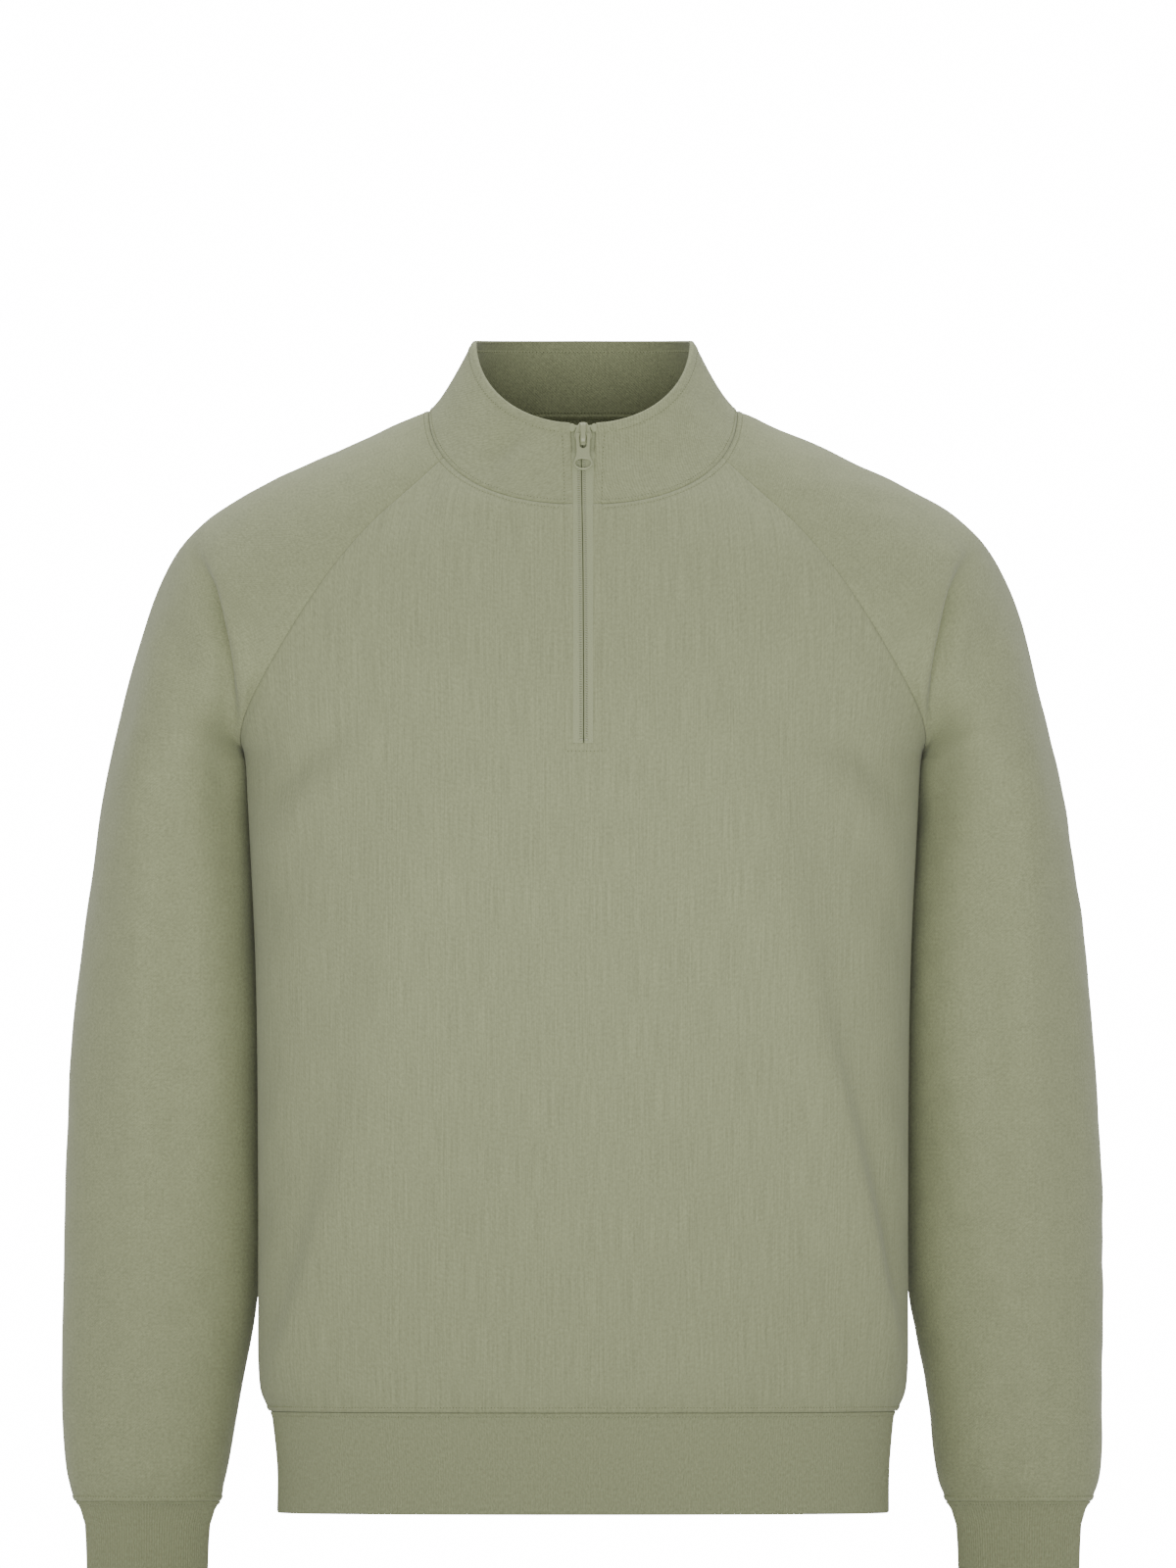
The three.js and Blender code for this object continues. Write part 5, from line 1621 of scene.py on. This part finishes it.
BODY_COLOUR = (153, 158, 123)
SLEEVE_COLOUR = (151, 156, 121)
RIB_COLOUR = (149, 154, 120)
THREAD_COLOUR = (163, 168, 134)
# painted shade: the dark colour of the needle holes' beads stands in for the shade inside each hole
HOLE_SHADE_COLOUR = (92, 96, 66)
TAPE_COLOUR = (162, 168, 133)
METAL_COLOUR = (158, 163, 128)
COIL_COLOUR = (172, 176, 148)
# painted shade: the dark colour of the beads between the coil stitches stands in for the shade in
# their gaps
COIL_SHADE_COLOUR = (122, 127, 96)

body_cloth = fleece("body_fleece", BODY_COLOUR, 1.0, 1.0, streak=1.0, twill=0.0)
sleeve_cloth = fleece("sleeve_fleece", SLEEVE_COLOUR, 0.8, 1.2, streak=0.3, twill=0.5)
collar_cloth = fleece("collar_fleece", BODY_COLOUR, 1.1, 0.9, streak=0.1, twill=1.0)
rib_cloth = rib_knit("rib_knit", RIB_COLOUR)
thread_material = thread("sewing_thread", THREAD_COLOUR)
hole_shade_material = thread("needle_hole_shade", HOLE_SHADE_COLOUR)
coil_material = thread("coil_thread", COIL_COLOUR)
coil_shade_material = thread("coil_gap_shade", COIL_SHADE_COLOUR)
tape_material = woven_tape("zip_tape", TAPE_COLOUR)
metal = painted_metal("painted_metal", METAL_COLOUR)

FINISH = [
    (body_cloth, ["front_cloth", "back_cloth"]),
    (collar_cloth, ["collar_cloth"]),
    (sleeve_cloth, ["sleeve_left_cloth", "sleeve_right_cloth"]),
    (rib_cloth, ["hem_rib", "cuff_left_rib", "cuff_right_rib"]),
    (tape_material, ["zip_tape_left_cloth", "zip_tape_right_cloth", "tape_ends"]),
    (thread_material, ["stitches"]),
    (hole_shade_material, ["painted_hole_shade"]),
    (coil_material, ["coil_stitches"]),
    (coil_shade_material, ["painted_coil_shade"]),
    (metal, ["slider", "pull"]),
]
for material, names in FINISH:
    for name in names:
        bpy.data.objects[name].data.materials.append(material)

# ------------------------------------------------------------------ camera, light and ground
DISTANCE = 30.0      # far off, so that the view has next to no perspective
VIEW_TALL = 1.024    # how much of the height it shows
VIEW_X = 0.0032      # its middle
VIEW_Z = -0.2432
SENSOR = 36
camera_data = bpy.data.cameras.new("camera")
camera_data.sensor_fit = "VERTICAL"
camera_data.sensor_height = SENSOR
camera_data.lens = SENSOR * DISTANCE / VIEW_TALL
camera_data.clip_end = 3 * DISTANCE
camera = bpy.data.objects.new("camera", camera_data)
camera.location = (VIEW_X, -DISTANCE, VIEW_Z)
camera.rotation_euler = (math.pi / 2, 0, 0)
bpy.context.scene.collection.objects.link(camera)
bpy.context.scene.camera = camera


def area_light(name, place, target, size, power):
    data = bpy.data.lights.new(name, "AREA")
    data.shape = "DISK"
    data.size = size
    data.energy = power
    lamp = bpy.data.objects.new(name, data)
    lamp.location = place
    way = Vector(target) - Vector(place)
    lamp.rotation_euler = way.to_track_quat("-Z", "Y").to_euler()
    bpy.context.scene.collection.objects.link(lamp)


area_light("front", (0, -3.6, -0.9), (0, 0, -0.35), 3.0, 92)
area_light("above_left", (1.2, 0.9, 2.2), (0, 0, 0), 1.8, 42)
area_light("above_right", (-1.2, 0.9, 2.2), (0, 0, 0), 1.8, 42)

SOFT_LIGHT = 0.52    # how much light comes from all round
SEEN_WHITE = 16.0    # so that what the camera sees behind the garment is plain white


def plain_white(node, strength):
    node.inputs["Color"].default_value = (1, 1, 1, 1)
    node.inputs["Strength"].default_value = strength
    return node.outputs[0]


world = bpy.data.worlds.new("studio")
world.use_nodes = True
tree = world.node_tree
soft = plain_white(tree.nodes["Background"], SOFT_LIGHT)
white = plain_white(tree.nodes.new("ShaderNodeBackground"), SEEN_WHITE)
rays = tree.nodes.new("ShaderNodeLightPath")
mixed = tree.nodes.new("ShaderNodeMixShader")
tree.links.new(rays.outputs["Is Camera Ray"], mixed.inputs[0])
tree.links.new(soft, mixed.inputs[1])
tree.links.new(white, mixed.inputs[2])
tree.links.new(mixed.outputs[0], tree.nodes["World Output"].inputs["Surface"])
bpy.context.scene.world = world

FLOOR_RADIUS = 1.15
FLOOR_Z = -0.82
bpy.ops.mesh.primitive_circle_add(
    vertices=96, radius=FLOOR_RADIUS, fill_type="NGON", location=(0, 0, FLOOR_Z))
floor = bpy.context.object
floor.name = "floor"
pale = Nodes("pale_floor", 0.9)
pale.set("Base Color", (0.8, 0.8, 0.8, 1))
floor.data.materials.append(pale.material)
